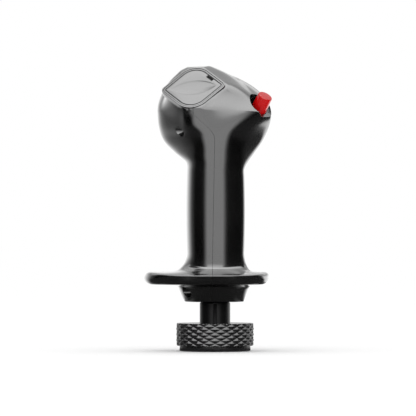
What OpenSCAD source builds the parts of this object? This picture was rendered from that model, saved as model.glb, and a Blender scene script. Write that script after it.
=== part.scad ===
// Flight simulator sidestick grip for the left hand, on a threaded coupling.
// Millimetres. The origin is the centre of the coupling nut's lower face.
// Z is up, +X is the pilot's right, +Y is forward and the photo looks along +Y.

/* [Coupling nut] */
// Diameter over the knurl
nut_d = 44; // [41:0.5:50]
// Height of the whole nut
nut_h = 15.8; // [14.5:0.1:20]
// Diameter of the smooth rim under the knurl
nut_rim_d = 40; // [38.5:0.5:43]
// Height of the smooth rim
nut_rim_h = 3.1; // [2:0.1:5]
// Bore of the coupling thread
thread_d = 33.8; // [31:0.1:35]
// Length of the coupling thread
thread_len = 8.5; // [6:0.1:9]
// Diamonds around the knurl
knurl_count = 20; // [12:1:28]
// Diamonds along the knurl
knurl_rows = 4; // [2:1:6]
// Depth of the knurl
knurl_depth = 0.9; // [0.4:0.1:1.1]

/* [Stem] */
// Diameter of the visible shaft
stem_d = 17.2; // [16:0.1:19]
// Visible length of the shaft above the nut
stem_gap = 12.1; // [9:0.1:18]
// Diameter of the part inside the collar
spigot_d = 15; // [13:0.1:15.8]
// Bore for the connector and its cable
stem_bore_d = 10.6; // [9:0.1:11.6]
// Diameter of the foot that the nut pulls on
foot_d = 30; // [24:0.5:31]
// Height of the foot
foot_h = 2.2; // [1.5:0.1:3]
// Width of the key groove
key_w = 2.1; // [1.2:0.1:4]
// Depth of the key groove
key_depth = 0.8; // [0.3:0.1:1.4]
// Width over the flats of the hexagon at the top of the stem
hex_af = 20; // [17.5:0.5:22]
// Height of that hexagon
hex_h = 3.5; // [2:0.1:5]

/* [Collar and hand rest] */
// Radius at the foot of the collar
collar_r0 = 17; // [15:0.1:20]
// Radius at the top of the collar
collar_r1 = 20.4; // [18:0.1:23]
// Height of the collar
collar_h = 9.3; // [8.6:0.1:14]
// Thickness of the hand rest
rest_h = 7.4; // [5:0.1:10]
// Reach of the hand rest to the left
rest_left = 40; // [34:0.5:48]
// Reach of the hand rest to the right
rest_right = 31.4; // [28:0.1:40]
// Reach of the hand rest to the rear
rest_rear = 31; // [28:0.5:38]
// Reach of the hand rest to the front
rest_front = 30; // [28:0.5:38]
// Height of the soft keel where the halves meet
rest_keel = 1.2; // [0:0.1:2.5]

/* [Handle] */
// Half width of the handle on the left
handle_left = 15.7; // [14.5:0.1:19]
// Half width of the handle on the right
handle_right = 16.6; // [14.5:0.1:19]
// Depth of the handle behind its axis
handle_rear = 19.4; // [18.5:0.1:23]
// Depth of the handle in front of its axis
handle_front = 20.2; // [18.5:0.1:23]
// Swell of the handle at half height
handle_swell = 0.5; // [0:0.1:1.5]
// Length of the handle above the hand rest
handle_len = 58.2; // [54:0.1:70]
// Height of the sweep from the handle to the hand rest
sweep_r = 10.4; // [7:0.1:11]

/* [Head] */
// Height from the neck to the widest level
head_rise = 32.5; // [30:0.1:38]
// Height from the widest level to the crown
crown_rise = 24.6; // [23:0.1:28]
// Half width of the head on the left
head_left = 32.7; // [30:0.1:37]
// Half width of the head on the right
head_right = 32.1; // [30:0.1:37]
// Depth of the head to the rear
head_rear = 21; // [20:0.1:24]
// Depth of the head to the front
head_front = 34; // [32:0.1:39]
// How far forward the head is widest
head_mid = 9; // [6:0.1:12]
// Fullness of the head's corner beside the button
corner_power = 2.7; // [2.2:0.1:3.2]
// Wall of the moulded shells
wall = 2.6; // [2:0.1:3.4]
// Gap along the line where the halves meet
part_gap = 0.1; // [0.06:0.02:0.2]

/* [Thumb plate and hat switch] */
// Side of the raised square rim
rim_side = 27.5; // [26:0.1:30]
// Corner radius at the left and right corners
rim_r_side = 3; // [2.6:0.1:5]
// Corner radius at the upper and lower corners
rim_r_end = 11.3; // [8:0.1:13]
// Width of the shell's lip
lip_w = 0.8; // [0.6:0.05:1.2]
// Width of the frame's lip
frame_w = 0.8; // [0.6:0.05:1.2]
// Gap round the frame
frame_gap = 0.25; // [0.15:0.05:0.4]
// Gap round the thumb plate
plate_gap = 0.35; // [0.2:0.05:0.6]
// Thickness of the thumb plate
plate_t = 2.4; // [2:0.1:3]
// Length of the thumb dish
dish_len = 26.6; // [20:0.2:27]
// Width of the thumb dish
dish_w = 10.9; // [8:0.1:13]
// Depth of the thumb dish
dish_depth = 1.3; // [0.6:0.1:1.4]
// Length of the pry notch
notch_len = 5; // [3:0.1:8]
// Width of the pry notch
notch_w = 1.7; // [1:0.1:2.5]
// Diameter of the holding magnets
magnet_d = 3; // [2:0.1:3.2]
// Radius of the hat
hat_r = 6.8; // [5:0.1:7]
// Tilt room of the hat each way, in degrees
hat_tilt = 8; // [4:1:8]

/* [Takeover button] */
// Diameter at the top of the button
button_d = 8.3; // [7:0.1:9]
// Height of the button over the floor of its pocket
button_h = 9.5; // [6:0.1:11]
// Diameter of the round pocket
pocket_d = 15.6; // [14:0.1:17]
// Depth of the pocket under the flat round it
pocket_depth = 6.2; // [5:0.1:7]
// Travel of the button
button_travel = 2.5; // [1.5:0.1:3]

/* [Trigger] */
// Width of the trigger
trigger_w = 12; // [9:0.1:14]
// Press angle of the trigger
trigger_angle = 8; // [4:1:9]
// Diameter of the hinge pin
pin_d = 3; // [2.4:0.1:3.6]

/* [Screws and boards] */
// Thread diameter of the shell screws
screw_d = 3; // [2.6:0.1:3.4]
// Diameter of the screw heads
screw_head_d = 5.4; // [4.8:0.1:5.6]
// Diameter of the counterbores
counterbore_d = 5.9; // [5.7:0.1:6.4]
// Depth of material under each screw head
screw_seat = 6; // [4:0.1:7]
// Length of the brass inserts
insert_len = 5; // [3.5:0.1:6]
// Diameter of the brass inserts
insert_d = 4.4; // [4.2:0.1:5]
// Width of the main circuit board
board_w = 19; // [16:0.1:20]
// Length of the main circuit board
board_len = 62; // [56:0.5:62]
// Thickness of the circuit boards
board_t = 1.6; // [1:0.1:2]

/* [Fits] */
// Clearance of running fits
run_fit = 0.05; // [0.02:0.01:0.1]
// Clearance of fixed fits
seat_fit = 0.05; // [0.02:0.01:0.1]
// Clearance beside moving pieces
free_fit = 0.3; // [0.2:0.05:0.4]

/* [Hidden] */
$fn = 48;

// Levels, from the coupling up
foot_z = thread_len + 0.25;
web_z = foot_z + foot_h + seat_fit;
collar_z = nut_h + stem_gap;
rest_z = collar_z + collar_h;
rest_top = rest_z + rest_h;
neck_z = rest_top + handle_len;
sweep_z = rest_top + sweep_r;
head_z = neck_z + head_rise;
crown_z = head_z + crown_rise;
hex_z = rest_top + 2;
cave_z = hex_z + hex_h + 2.2;
cave_top = head_z + 0.5 * crown_rise;

// The line where the halves meet: it leans in the handle and swings left under the plate
part_foot_x = -1.7;
part_neck_x = -0.2;
part_head_x = -12.3;
swing_z0 = head_z - 17;
swing_z1 = head_z - 0.8;

// Middle of the collar, a little left of the coupling axis
collar_x = -0.35;

// Thumb plate: place of its centre, turn to the left, lean and roll
plate_c = [-12.2, -head_rear + 9.8, crown_z - 11.4];
plate_yaw = -16.2;
plate_lean = 51.8;
plate_roll = 5.9;
plate_n = [sin(plate_yaw) * sin(plate_lean), -cos(plate_yaw) * sin(plate_lean), cos(plate_lean)];
rim_proud = 1.2;
rim_wall_h = 3.6;
fair_slope = 0.75;
fair_steep = 3;
fair_blend = 2.4;
face_blend = 8;
frame_z = -plate_t - 0.1;
ledge_t = 1.7;
seat_z = frame_z - ledge_t;
well_z = -11;
block_z = well_z - 2.6;
hat_pivot_z = well_z - 1.4;
hat_rise = 4.2;
hat_side = 14;
hat_cap_h = 2.2;
plate_in = lip_w + frame_gap + frame_w + plate_gap;
ledge_in = plate_in + 2.8;

// Takeover button: turn, lean and the centre of its pocket floor
button_yaw = 43.9;
button_lean = 37.4;
button_n = [sin(button_yaw) * sin(button_lean), -cos(button_yaw) * sin(button_lean), cos(button_lean)];
pocket_c = [head_right - 7.7, -head_rear + 14.4, head_z + 0.9];
button_base_r = button_d / 2 + 0.45;
floor_t = 1.8;
pocket_wall = 1.8;
chamber_r = button_base_r + 0.8;
guide_r = chamber_r + 1.6;
button_board_r = guide_r - 0.8;
flange_t = 1.4;
guide_z = -10;
switch_h = 3.2;

// Trigger hinge, in the middle plane
hinge_y = head_front - 11;
hinge_z = head_z - 5.5;
hub_r = 4.2;
trigger_tip_z = neck_z + 1.8;
press_z = neck_z + 5;
spring_z = neck_z + 12.5;

// Boards
board_y = handle_front - 12.2;
board_z = cave_z + 4;
clip_len = 6;
header_z = board_z + 1;
header_d = 7.5;
clip_zs = [board_z + 3, board_z + 34];

// Shell screws: forward place and level of each, and whether a rib holds the boss of its insert
screw_sites = [
    [-8, head_z - 11.6, true],
    [21, head_z + 1, false],
    [0, rest_top + 30.5, false],
    [-11.2, rest_z - 3.8, false],
    [11.2, rest_z - 3.8, false]
];

function mix(a, b, t) = a + (b - a) * t;
function clamp01(t) = max(0, min(1, t));
function ease(t) = let (u = clamp01(t)) u * u * (3 - 2 * u);
function soft_max(a, b, k) = let (h = max(k - abs(a - b), 0) / k) max(a, b) + h * h * k / 4;

// Smooth curve through knots [place, value]
function knot_slope(k, i) =
    let (a = max(i - 1, 0), b = min(i + 1, len(k) - 1))
    (k[b][1] - k[a][1]) / (k[b][0] - k[a][0]);
function knot_span(k, s, i = 0) = i >= len(k) - 2 || s < k[i + 1][0] ? i : knot_span(k, s, i + 1);
function curve(k, s) =
    let (
        i = knot_span(k, s),
        d = k[i + 1][0] - k[i][0],
        t = clamp01((s - k[i][0]) / d),
        t2 = t * t,
        t3 = t2 * t
    )
    k[i][1] * (2 * t3 - 3 * t2 + 1) + knot_slope(k, i) * d * (t3 - 2 * t2 + t)
    + k[i + 1][1] * (3 * t2 - 2 * t3) + knot_slope(k, i + 1) * d * (t3 - t2);

function part_x(z) =
    let (low = mix(part_foot_x, part_neck_x, clamp01((z - rest_z) / (swing_z0 - rest_z))))
    mix(low, part_head_x, ease(pow(clamp01((z - swing_z0) / (swing_z1 - swing_z0)), 1.25)));

// How the head swells from the neck (0) to its widest level (1)
left_swell = [[0, 0], [0.05, 0], [0.125, 0.05], [0.286, 0.414], [0.492, 0.787], [0.738, 0.953], [1, 1]];
right_swell = [[-0.1, 0], [-0.02, 0], [0.077, 0.09], [0.286, 0.394], [0.492, 0.69], [0.738, 0.916], [1, 1]];
rear_swell = [[0, 0], [0.2, 0.2], [0.45, 0.68], [0.7, 0.95], [1, 1]];
front_swell = [[0, 0], [0.15, 0.08], [0.45, 0.55], [0.75, 0.88], [1, 1]];

// Where the rear turns to the sides, as shares of their reach, over the same rise
left_inner = [[0, 0.344], [0.15, 0.32], [0.33, 0.24], [0.535, 0.241], [0.71, 0.347], [0.88, 0.395], [1, 0.416]];
left_outer = [[0, 0.726], [0.15, 0.655], [0.33, 0.475], [0.535, 0.478], [0.71, 0.505], [0.88, 0.531], [1, 0.569]];
right_inner = [[0, 0.319], [0.15, 0.289], [0.33, 0.253], [0.535, 0.26], [0.71, 0.37], [0.88, 0.554], [1, 0.717]];
right_outer = [[0, 0.861], [0.15, 0.753], [0.33, 0.641], [0.535, 0.641], [0.71, 0.731], [0.88, 0.902], [1, 0.919]];

// Turn of the face there in degrees: inner, outer, and beside the edge of the handle and of the head
left_turn = [23.5, 51, 76.5, 61.5];
right_turn = [20.4, 46, 68, 55];

function swell(z) = handle_swell * sin(180 * clamp01((z - sweep_z) / (neck_z - sweep_z)));
function head_share(z) = (z - neck_z) / head_rise;

// Depth behind the rear at even steps of a quarter turn, from the way the face turns
turn_steps = 24;
function depths(reach, inner, outer, turn, head) =
    let (
        knots = [
            [0, 0],
            [asin(inner), turn[0]],
            [asin(outer), turn[1]],
            [asin(mix(outer, 1, 0.85)), mix(turn[2], turn[3], head)],
            [90, 90]
        ],
        step = 90 / turn_steps,
        unit = reach * step * PI / 180
    )
    [
        for (
            i = 0, d = 0;
            i <= turn_steps;
            d = d + unit * cos((i + 0.5) * step) * tan(min(89.6, curve(knots, (i + 0.5) * step))),
            i = i + 1
        )
            d
    ];

// A cut through the handle or the lower head: [rear, front, left, right, depths to the left, depths to the right]
function handle_section(z, inset = 0) =
    let (
        s = head_share(z),
        w = swell(z) - inset,
        head = ease(s * 2.2),
        left = mix(handle_left, head_left, curve(left_swell, s)) + w,
        right = mix(handle_right, head_right, curve(right_swell, s)) + w
    )
    [
        -mix(handle_rear, head_rear, curve(rear_swell, s)) - w,
        mix(handle_front, head_front, curve(front_swell, s)) + w,
        left,
        right,
        depths(left, curve(left_inner, s), curve(left_outer, s), left_turn, head),
        depths(right, curve(right_inner, s), curve(right_outer, s), right_turn, head)
    ];
// A point of such a cut at angle a, with 0 to the rear, 90 to the right and 180 to the front
function handle_plan(s, a) =
    let (
        on_right = sin(a) >= 0,
        d = on_right ? s[5] : s[4],
        step = abs(asin(sin(a))) / 90 * turn_steps,
        i = min(floor(step), turn_steps - 1),
        middle = s[0] + d[turn_steps]
    )
    [
        sin(a) * (on_right ? s[3] : s[2]),
        cos(a) >= 0 ? s[0] + mix(d[i], d[i + 1], step - i) : middle - (s[1] - middle) * cos(a)
    ];

// An oval cut: [middle x, middle y, left, right, rear, front, left power, keel, skew, right power]
function collar_section(r) = [collar_x, 0, r, r, r, r, 2, 0, 0, 2];
function rest_section(inset) =
    [0, 0, rest_left - inset, rest_right - inset, rest_rear - inset, rest_front - inset, 2.3, rest_keel, 0, 2.3];
function plate_y(x, z) = plate_c.y - (plate_n.x * (x - plate_c.x) + plate_n.z * (z - plate_c.z)) / plate_n.y;
function crown_section(z, inset = 0) =
    let (
        c = cos(asin(clamp01((z - head_z) / crown_rise))),
        pole = [part_head_x, plate_c.y + 11],
        mx = mix(pole.x, 0, c),
        my = mix(pole.y, head_mid, c),
        back = soft_max(
            mix(pole.y, -head_rear, pow(c, 0.8)),
            plate_y(mx, z) - rim_proud / plate_n.y,
            3
        )
    )
    [
        mx,
        my,
        mx - mix(pole.x, -head_left, pow(c, 1.05 + 0.25 * c)) - inset,
        mix(pole.x, head_right, pow(c, 0.72 + 0.5 * c)) - mx - inset,
        my - back - inset,
        mix(pole.y, head_front, pow(c, 0.75 + 0.35 * c)) - my - inset,
        mix(2.1, corner_power, ease((z - head_z) / crown_rise * 2.5)),
        0,
        plate_n.x / -plate_n.y * ease((z - head_z) / crown_rise * 2.2),
        corner_power
    ];
function signed_pow(v, p) = sign(v) * pow(abs(v), p);
function oval_plan(s, a, px) =
    let (
        e = 2 / mix(s[6], s[9], ease(0.5 + sin(a) / 0.9)),
        x = s[0] + (sin(a) >= 0 ? s[3] : s[2]) * signed_pow(sin(a), e),
        y = s[1] - (cos(a) >= 0 ? s[4] : s[5]) * signed_pow(cos(a), e),
        keel = s[7] * max(0, 1 - abs(x - px) / 16)
    )
    [x, y - sign(cos(a)) * keel + s[8] * min(0, x - s[0])];

// Direction in the plate at angle a from its level line
function plate_dir(a) =
    let (x = cos(a), y = sin(a) * cos(plate_lean), z = sin(a) * sin(plate_lean))
    [x * cos(plate_yaw) - y * sin(plate_yaw), x * sin(plate_yaw) + y * cos(plate_yaw), z];
plate_u = plate_dir(plate_roll + 45);
plate_v = plate_dir(plate_roll - 45);
rim_end = rim_side / sqrt(2) - rim_r_end * (sqrt(2) - 1);
// Draws the head's surface up to the foot of the rim, without moving it sideways
lift_dir = [0, plate_n.y, plate_n.z] / norm([plate_n.y, plate_n.z]);
function fair(p) =
    let (
        q = p - plate_c,
        h = q * plate_n,
        d = max(
            pow(pow(abs(q * plate_u), 8) + pow(abs(q * plate_v), 8), 1 / 8) - rim_side / 2,
            abs(q * plate_dir(plate_roll + 90)) - rim_end
        ),
        slope = mix(fair_slope, fair_steep, ease(0.5 - q * plate_u / 12)),
        f = -rim_proud - slope * max(0, d),
        w = ease((h + 15) / 9),
        top = soft_max(-soft_max(-h, rim_proud, 1.5), f, fair_blend)
    )
    p + lift_dir * (w * (top - h) / (lift_dir * plate_n));
// Draws it down to the flat that the button's pocket is sunk into
function face_button(p, inset = 0) =
    p - button_n * soft_max((p - pocket_c) * button_n - pocket_depth + inset, 0, face_blend);

// A row of the loft: [level, point at angle a for the parting line px]
function oval_row(z, s) = [z, function (a, px) let (p = oval_plan(s, a, px)) [p.x, p.y, z]];
function handle_row(z, s) = [z, function (a, px) let (p = handle_plan(s, a)) [p.x, p.y, z]];
function head_row(z, s) = [z, function (a, px) let (p = handle_plan(s, a)) fair(face_button([p.x, p.y, z]))];
function cave_row(z, s) = [z, function (a, px) let (p = handle_plan(s, a)) face_button([p.x, p.y, z], wall)];
// The crown keeps the turn of the head below and eases into a dome, sooner beside the button
function crown_plan(z, dome, below, a) =
    let (
        lift = (z - head_z) / crown_rise,
        p = oval_plan(dome, a, 0),
        q = handle_plan(below, a),
        x = dome[0] + q.x * (q.x >= 0 ? dome[3] / below[3] : dome[2] / below[2]),
        long = (dome[4] + dome[5]) / (below[1] - below[0]),
        y = dome[1] - dome[4] + (q.y - below[0]) * long + dome[8] * min(0, x - dome[0]),
        share = mix(ease(lift * 1.6), ease(lift * 4), ease(0.5 + sin(a)))
    )
    [mix(x, p.x, share), mix(y, p.y, share)];
function crown_row(z) =
    let (dome = crown_section(z), below = handle_section(head_z))
    [z, function (a, px) let (p = crown_plan(z, dome, below, a)) fair(face_button([p.x, p.y, z]))];
function cave_crown_row(z) =
    let (dome = crown_section(z + wall, wall), below = handle_section(head_z, wall))
    [z, function (a, px) let (p = crown_plan(z + wall, dome, below, a)) face_button([p.x, p.y, z], wall)];

// The hand rest is round edged at the sides and has a leaning wall at the rear and the front.
// Edge, from below: [inset at the sides, level, inset at the rear, level], levels from its foot
rim_r = rest_h / 2;
rest_edge = [
    [2.55, 0.5, 3, 0.5], [1.1, 1.1, 1.8, 0.9], [0.24, 2.4, 1, 2.1], [0, rim_r + 0.3, 0.65, 3.2], [0.24, 5.5, 0.3, 4.4],
    [1.1, 6.5, 0.05, 5.3], [2.97, rest_h + 0.15, 0.5, 5.9]
];
// Top and sweep, inwards: [share of the way out at the sides, level, share at the rear, level], levels from its top
rest_sweep = [
    [0.6, 0.25, 0.62, -0.2], [0.42, 0.4, 0.45, 0.35], [0.31, 0.8, 0.32, 0.8], [0.225, 1.6, 0.21, 1.2],
    [0.14, 3.3, 0.12, 1.7], [0.08, 5, 0.06, 2.4], [0.04, 6.9, 0.025, 3.6], [0.012, 8.7, 0.007, 5.9], [0, 10.4, 0, 10.4]
];
function rear_share(a) = ease(pow(abs(cos(a)), 1.2));
function edge_row(k) =
    let (side = rest_section(k[0]), rear = rest_section(k[2]))
    [
        rest_z + k[1],
        function (a, px)
            let (p = mix(oval_plan(side, a, px), oval_plan(rear, a, px), rear_share(a)))
            [p.x, p.y, rest_z + mix(k[1], k[3], rear_share(a))]
    ];
function sweep_row(k) =
    let (
        last = rest_edge[len(rest_edge) - 1],
        side = rest_section(last[0]),
        rear = rest_section(last[2]),
        inner = handle_section(sweep_z),
        scale_z = sweep_r / rest_sweep[len(rest_sweep) - 1][1]
    )
    [
        rest_top + scale_z * max(0, k[1]),
        function (a, px)
            let (
                w = rear_share(a),
                out = mix(oval_plan(side, a, px), oval_plan(rear, a, px), w),
                p = mix(handle_plan(inner, a), out, mix(k[0], k[2], w))
            )
            [p.x, p.y, rest_top + scale_z * mix(k[1], k[3], w)]
    ];

// Rows of the outside, from the collar to the crown
outer_rows = concat(
    [
        oval_row(collar_z, collar_section(collar_r0 - 0.4)),
        oval_row(collar_z + 0.5, collar_section(collar_r0)),
        oval_row(collar_z + 4.5, collar_section(mix(collar_r0, collar_r1, 0.45))),
        oval_row(rest_z - 1.3, collar_section(collar_r1)),
        oval_row(rest_z - 0.4, collar_section(collar_r1 + 1)),
        oval_row(rest_z - 0.05, collar_section(collar_r1 + 3))
    ],
    [for (k = rest_edge) edge_row(k)],
    [for (k = rest_sweep) sweep_row(k)],
    [for (d = [0.14, 0.32, 0.52, 0.72, 0.88]) let (z = mix(sweep_z, neck_z, d)) handle_row(z, handle_section(z))],
    [
        for (t = [-0.03, 0.04, 0.1, 0.16, 0.22, 0.29, 0.37, 0.46, 0.56, 0.66, 0.74, 0.82, 0.88, 0.94])
            let (z = neck_z + head_rise * t) head_row(z, handle_section(z))
    ],
    [for (a = [0, 3, 6, 9, 13, 18, 25, 32, 40, 48, 56, 64, 72, 80]) crown_row(head_z + crown_rise * sin(a))]
);
crown_pt = [part_head_x, plate_c.y + 11, crown_z];

// Rows of the hollow inside
cave_rows = concat(
    [for (d = [0, 0.3, 0.6, 0.9]) let (z = mix(cave_z, neck_z, d)) handle_row(z, handle_section(z, wall))],
    [
        for (t = [0.02, 0.14, 0.26, 0.4, 0.56, 0.75, 0.97])
            let (z = neck_z + head_rise * t) cave_row(z, handle_section(z, wall))
    ],
    [for (t = [0.12, 0.26, 0.38, 0.5]) cave_crown_row(head_z + crown_rise * t)]
);

// Angle at which a row meets the parting plane px, at the rear
function part_angle(row, px, low = -90, high = 90, n = 26) =
    let (a = (low + high) / 2)
    n == 0 ? a : row[1](a, px).x < px ? part_angle(row, px, a, high, n - 1) : part_angle(row, px, low, a, n - 1);
function half_ring(row, side, px, count) =
    let (a0 = part_angle(row, px), a1 = side * 180 - a0)
    [for (j = [0:count]) row[1](mix(a0, a1, j / count), px)];
// The ends of a ring lie on the parting surface
function seal_ring(ring, edge) =
    let (last = len(ring) - 1)
    [
        for (j = [0:last])
            let (p = ring[j])
            j == 0 || j == last ? [part_x(p.z) + edge, p.y, p.z] : p
    ];

// Faces of a half loft: the skin, the parting face and both ends
function skin_faces(rows, count, side) = [
    for (i = [0:rows - 2])
        for (j = [0:count - 1])
            let (a = i * (count + 1) + j, d = a + count + 1)
            each side > 0 ? [[a, d, d + 1], [a, d + 1, a + 1]] : [[a, d + 1, d], [a, a + 1, d + 1]]
];
function part_faces(rows, count, side) = [
    for (i = [0:rows - 2])
        let (a = i * (count + 1), d = a + count + 1)
        each side > 0
            ? [[a + count, d + count, a], [d + count, d, a]]
            : [[a, d + count, a + count], [a, d, d + count]]
];
function flip(f, on) = on ? [for (i = [len(f) - 1:-1:0]) f[i]] : f;

module half_skin(side) {
    count = side > 0 ? 30 : 22;
    rows = len(outer_rows);
    last = (rows - 1) * (count + 1);
    edge = side * part_gap / 2;
    points = concat(
        [for (row = outer_rows) each seal_ring(half_ring(row, side, part_x(row[0]) + edge, count), edge)],
        [crown_pt + [edge, 0, 0]]
    );
    tip = len(points) - 1;
    faces = concat(
        skin_faces(rows, count, side),
        part_faces(rows, count, side),
        [flip([for (j = [0:count]) j], side < 0)],
        [for (j = [0:count - 1]) flip([last + j, tip, last + j + 1], side < 0)],
        [flip([last + count, tip, last], side < 0)]
    );
    polyhedron(points, faces, convexity = 6);
}

module half_cave(side) {
    count = 10;
    rows = len(cave_rows);
    last = (rows - 1) * (count + 1);
    points = concat(
        [for (row = cave_rows) each half_ring(row, side, part_x(row[0]) - side, count)],
        [[part_x(cave_top) - side, crown_pt.y, cave_top + 1]]
    );
    tip = len(points) - 1;
    faces = concat(
        skin_faces(rows, count, side),
        part_faces(rows, count, side),
        [flip([for (j = [0:count]) j], side < 0)],
        [for (j = [0:count - 1]) flip([last + j, tip, last + j + 1], side < 0)],
        [flip([last + count, tip, last], side < 0)]
    );
    polyhedron(points, faces, convexity = 6);
}

// All space on one side of the parting surface
module half_space(side) {
    far = side * 80;
    edge = [for (row = outer_rows) if (row[0] > sweep_z) [part_x(row[0]) + side * part_gap / 2, row[0]]];
    rotate([90, 0, 0])
        linear_extrude(160, center = true)
            polygon(concat(edge, [[part_head_x + side * part_gap / 2, crown_z + 20], [far, crown_z + 20], [far, sweep_z]]));
}

// Local frames: the plate (z leaves the head) and the button (z leaves the pocket)
module on_plate() translate(plate_c) rotate([0, 0, plate_yaw]) rotate([plate_lean, 0, 0]) rotate([0, 0, plate_roll]) children();
module on_button() translate(pocket_c) rotate([0, 0, button_yaw]) rotate([button_lean, 0, 0]) children();
// Along X, from x0 to x1
module along_x(x0, x1, y, z, r) translate([x0, y, z]) rotate([0, 90, 0]) cylinder(r = r, h = x1 - x0);
// Along Y, from y0 to y1
module along_y(y0, y1, x, z, r) translate([x, y1, z]) rotate([90, 0, 0]) cylinder(r = r, h = y1 - y0);

// Outline of the rim, set in by the given distance
module rim_outline(inset) {
    reach = rim_side / sqrt(2);
    hull() {
        for (s = [-1, 1]) translate([s * (reach - rim_r_side * sqrt(2)), 0]) circle(rim_r_side - inset, $fn = 24);
        for (s = [-1, 1]) translate([0, s * (reach - rim_r_end * sqrt(2))]) circle(rim_r_end - inset, $fn = 40);
    }
}
// For insets wider than the tight corners
module well_outline(inset) {
    side = rim_side - 2 * inset;
    rotate(45) square(side, center = true);
}
module slab(z0, z1) translate([0, 0, z0]) linear_extrude(z1 - z0) children();

// The raised rim: its foot lies inside the faired head
module rim_block() on_plate() slab(-rim_wall_h, 0) rim_outline(0);

// Screw places
function screw_x(s) = part_x(s[1]);
function insert_x(s) = part_x(s[1] - insert_d / 2) + 0.7;
boss_r = 4;

// Material that stands in the hollow of one half
module kept(side) {
    for (s = screw_sites) {
        boss_end = s[2] ? insert_x(s) + insert_len + 4 : 60;
        along_x(side > 0 ? screw_x(s) - 2 : -60, side > 0 ? boss_end : screw_x(s) + 2, s[0], s[1], boss_r);
        if (side > 0 && s[2])
            translate([screw_x(s) - 2, s[0] - 30, s[1] - boss_r / 2]) cube([boss_end - screw_x(s) + 2, 30, boss_r]);
    }
    on_plate() slab(block_z, 5) rim_outline(1.5);
    along_x(side > 0 ? trigger_w / 2 : -60, side > 0 ? 60 : -trigger_w / 2, hinge_y, hinge_z, 3.6);
    for (z = clip_zs) {
        for (y = [board_y - 1.5 - seat_fit, board_y + board_t + seat_fit])
            translate([side > 0 ? board_w / 2 - 1.6 : -40, y, z]) cube([40 - board_w / 2 + 1.6, 1.5, clip_len]);
    }
    if (side > 0) on_button() {
        slab(guide_z, pocket_d) circle(guide_r);
        slab(-floor_t, pocket_d) circle(pocket_d / 2 + pocket_wall);
    }
}

module hat_cuts() on_plate() {
    slab(seat_z, 6) rim_outline(lip_w);
    slab(well_z, seat_z + 0.1) well_outline(ledge_in - 0.4);
    slab(block_z - 14, well_z + 0.1) rotate(45) square(hat_side + 2 * free_fit, center = true);
}

module button_cuts() on_button() {
    slab(0, 30) circle(d = pocket_d);
    slab(-floor_t - 1, 1) circle(button_base_r + free_fit);
    slab(guide_z - 0.1, -floor_t) circle(chamber_r);
    slab(guide_z - board_t - 2, guide_z) circle(button_board_r + free_fit);
}

module screw_cuts(side) for (s = screw_sites) {
    if (side < 0) {
        along_x(-60, screw_x(s) - screw_seat, s[0], s[1], counterbore_d / 2);
        along_x(screw_x(s) - screw_seat - 1, screw_x(s) + 6, s[0], s[1], screw_d / 2 + 0.2);
    } else {
        along_x(screw_x(s) - 6, insert_x(s) + insert_len + 0.05, s[0], s[1], insert_d / 2 + seat_fit);
        along_x(screw_x(s) - 6, insert_x(s) + insert_len + 3, s[0], s[1], screw_d / 2 + 0.2);
    }
}

module stem_cuts() {
    translate([0, 0, collar_z - 1]) cylinder(d = spigot_d + 2 * seat_fit, h = hex_z - collar_z + 2);
    translate([0, 0, hex_z - seat_fit])
        cylinder(d = hex_af / cos(30) + 2 * seat_fit, h = hex_h + 2 * seat_fit, $fn = 6);
    translate([0, 0, hex_z]) cylinder(d = stem_bore_d, h = cave_z - hex_z + 1);
}

module trigger_cuts() {
    translate([-trigger_w / 2 - free_fit, 0, 0])
        rotate([90, 0, 90])
            linear_extrude(trigger_w + 2 * free_fit)
                polygon([
                    [handle_front - 6, neck_z + 1.2], [head_front + 20, neck_z + 1.2], [head_front + 20, hinge_z - 1],
                    [hinge_y + 8, hinge_z + 6], [hinge_y - 7, hinge_z + 6], [hinge_y - 9, hinge_z - 8]
                ]);
    along_x(-pin_end - 0.1, pin_end + 0.1, hinge_y, hinge_z, pin_d / 2 + 0.02);
}
pin_end = trigger_w / 2 + 6;

module shell(side) difference() {
    union() {
        half_skin(side);
        intersection() {
            rim_block();
            half_space(side);
        }
    }
    difference() {
        half_cave(side);
        kept(side);
    }
    hat_cuts();
    screw_cuts(side);
    stem_cuts();
    trigger_cuts();
    if (side > 0) button_cuts();
}

module left_shell() color([0.09, 0.09, 0.1]) shell(-1);
module right_shell() color([0.11, 0.11, 0.12]) shell(1);

module shell_screws() color([0.2, 0.2, 0.22]) for (s = screw_sites) difference() {
    union() {
        along_x(screw_x(s) - screw_seat - 2.6, screw_x(s) - screw_seat, s[0], s[1], screw_head_d / 2);
        along_x(screw_x(s) - screw_seat - 0.1, insert_x(s) + insert_len - 0.5, s[0], s[1], screw_d / 2);
    }
    translate([screw_x(s) - screw_seat - 3, s[0], s[1]]) rotate([0, 90, 0]) cylinder(d = screw_d * 0.95, h = 2, $fn = 6);
}

module threaded_inserts() color([0.72, 0.55, 0.25]) for (s = screw_sites) difference() {
    along_x(insert_x(s), insert_x(s) + insert_len, s[0], s[1], insert_d / 2);
    along_x(insert_x(s) - 1, insert_x(s) + insert_len + 1, s[0], s[1], screw_d / 2 + 0.03);
}

// Thin frame round the thumb plate, with a ledge that the plate lies on
module magnet_places() for (s = [-1, 1]) translate([s * (rim_side / sqrt(2) - plate_in * sqrt(2) - 3.2), 0]) children();
module hat_frame() color([0.16, 0.16, 0.17]) on_plate() difference() {
    slab(seat_z + seat_fit, -0.1) rim_outline(lip_w + frame_gap);
    slab(frame_z, 1) rim_outline(lip_w + frame_gap + frame_w);
    slab(seat_z - 1, 1) well_outline(ledge_in);
    slab(frame_z - 1.15, frame_z + 1) magnet_places() circle(d = magnet_d + 2 * seat_fit);
}

module plate_magnets() color([0.7, 0.7, 0.72]) on_plate() slab(frame_z - 1.1, frame_z - 0.1) magnet_places() circle(d = magnet_d);
module plate_keepers() color([0.6, 0.6, 0.62]) on_plate() slab(frame_z + 0.1, frame_z + 0.7) magnet_places() circle(d = magnet_d);

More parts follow.
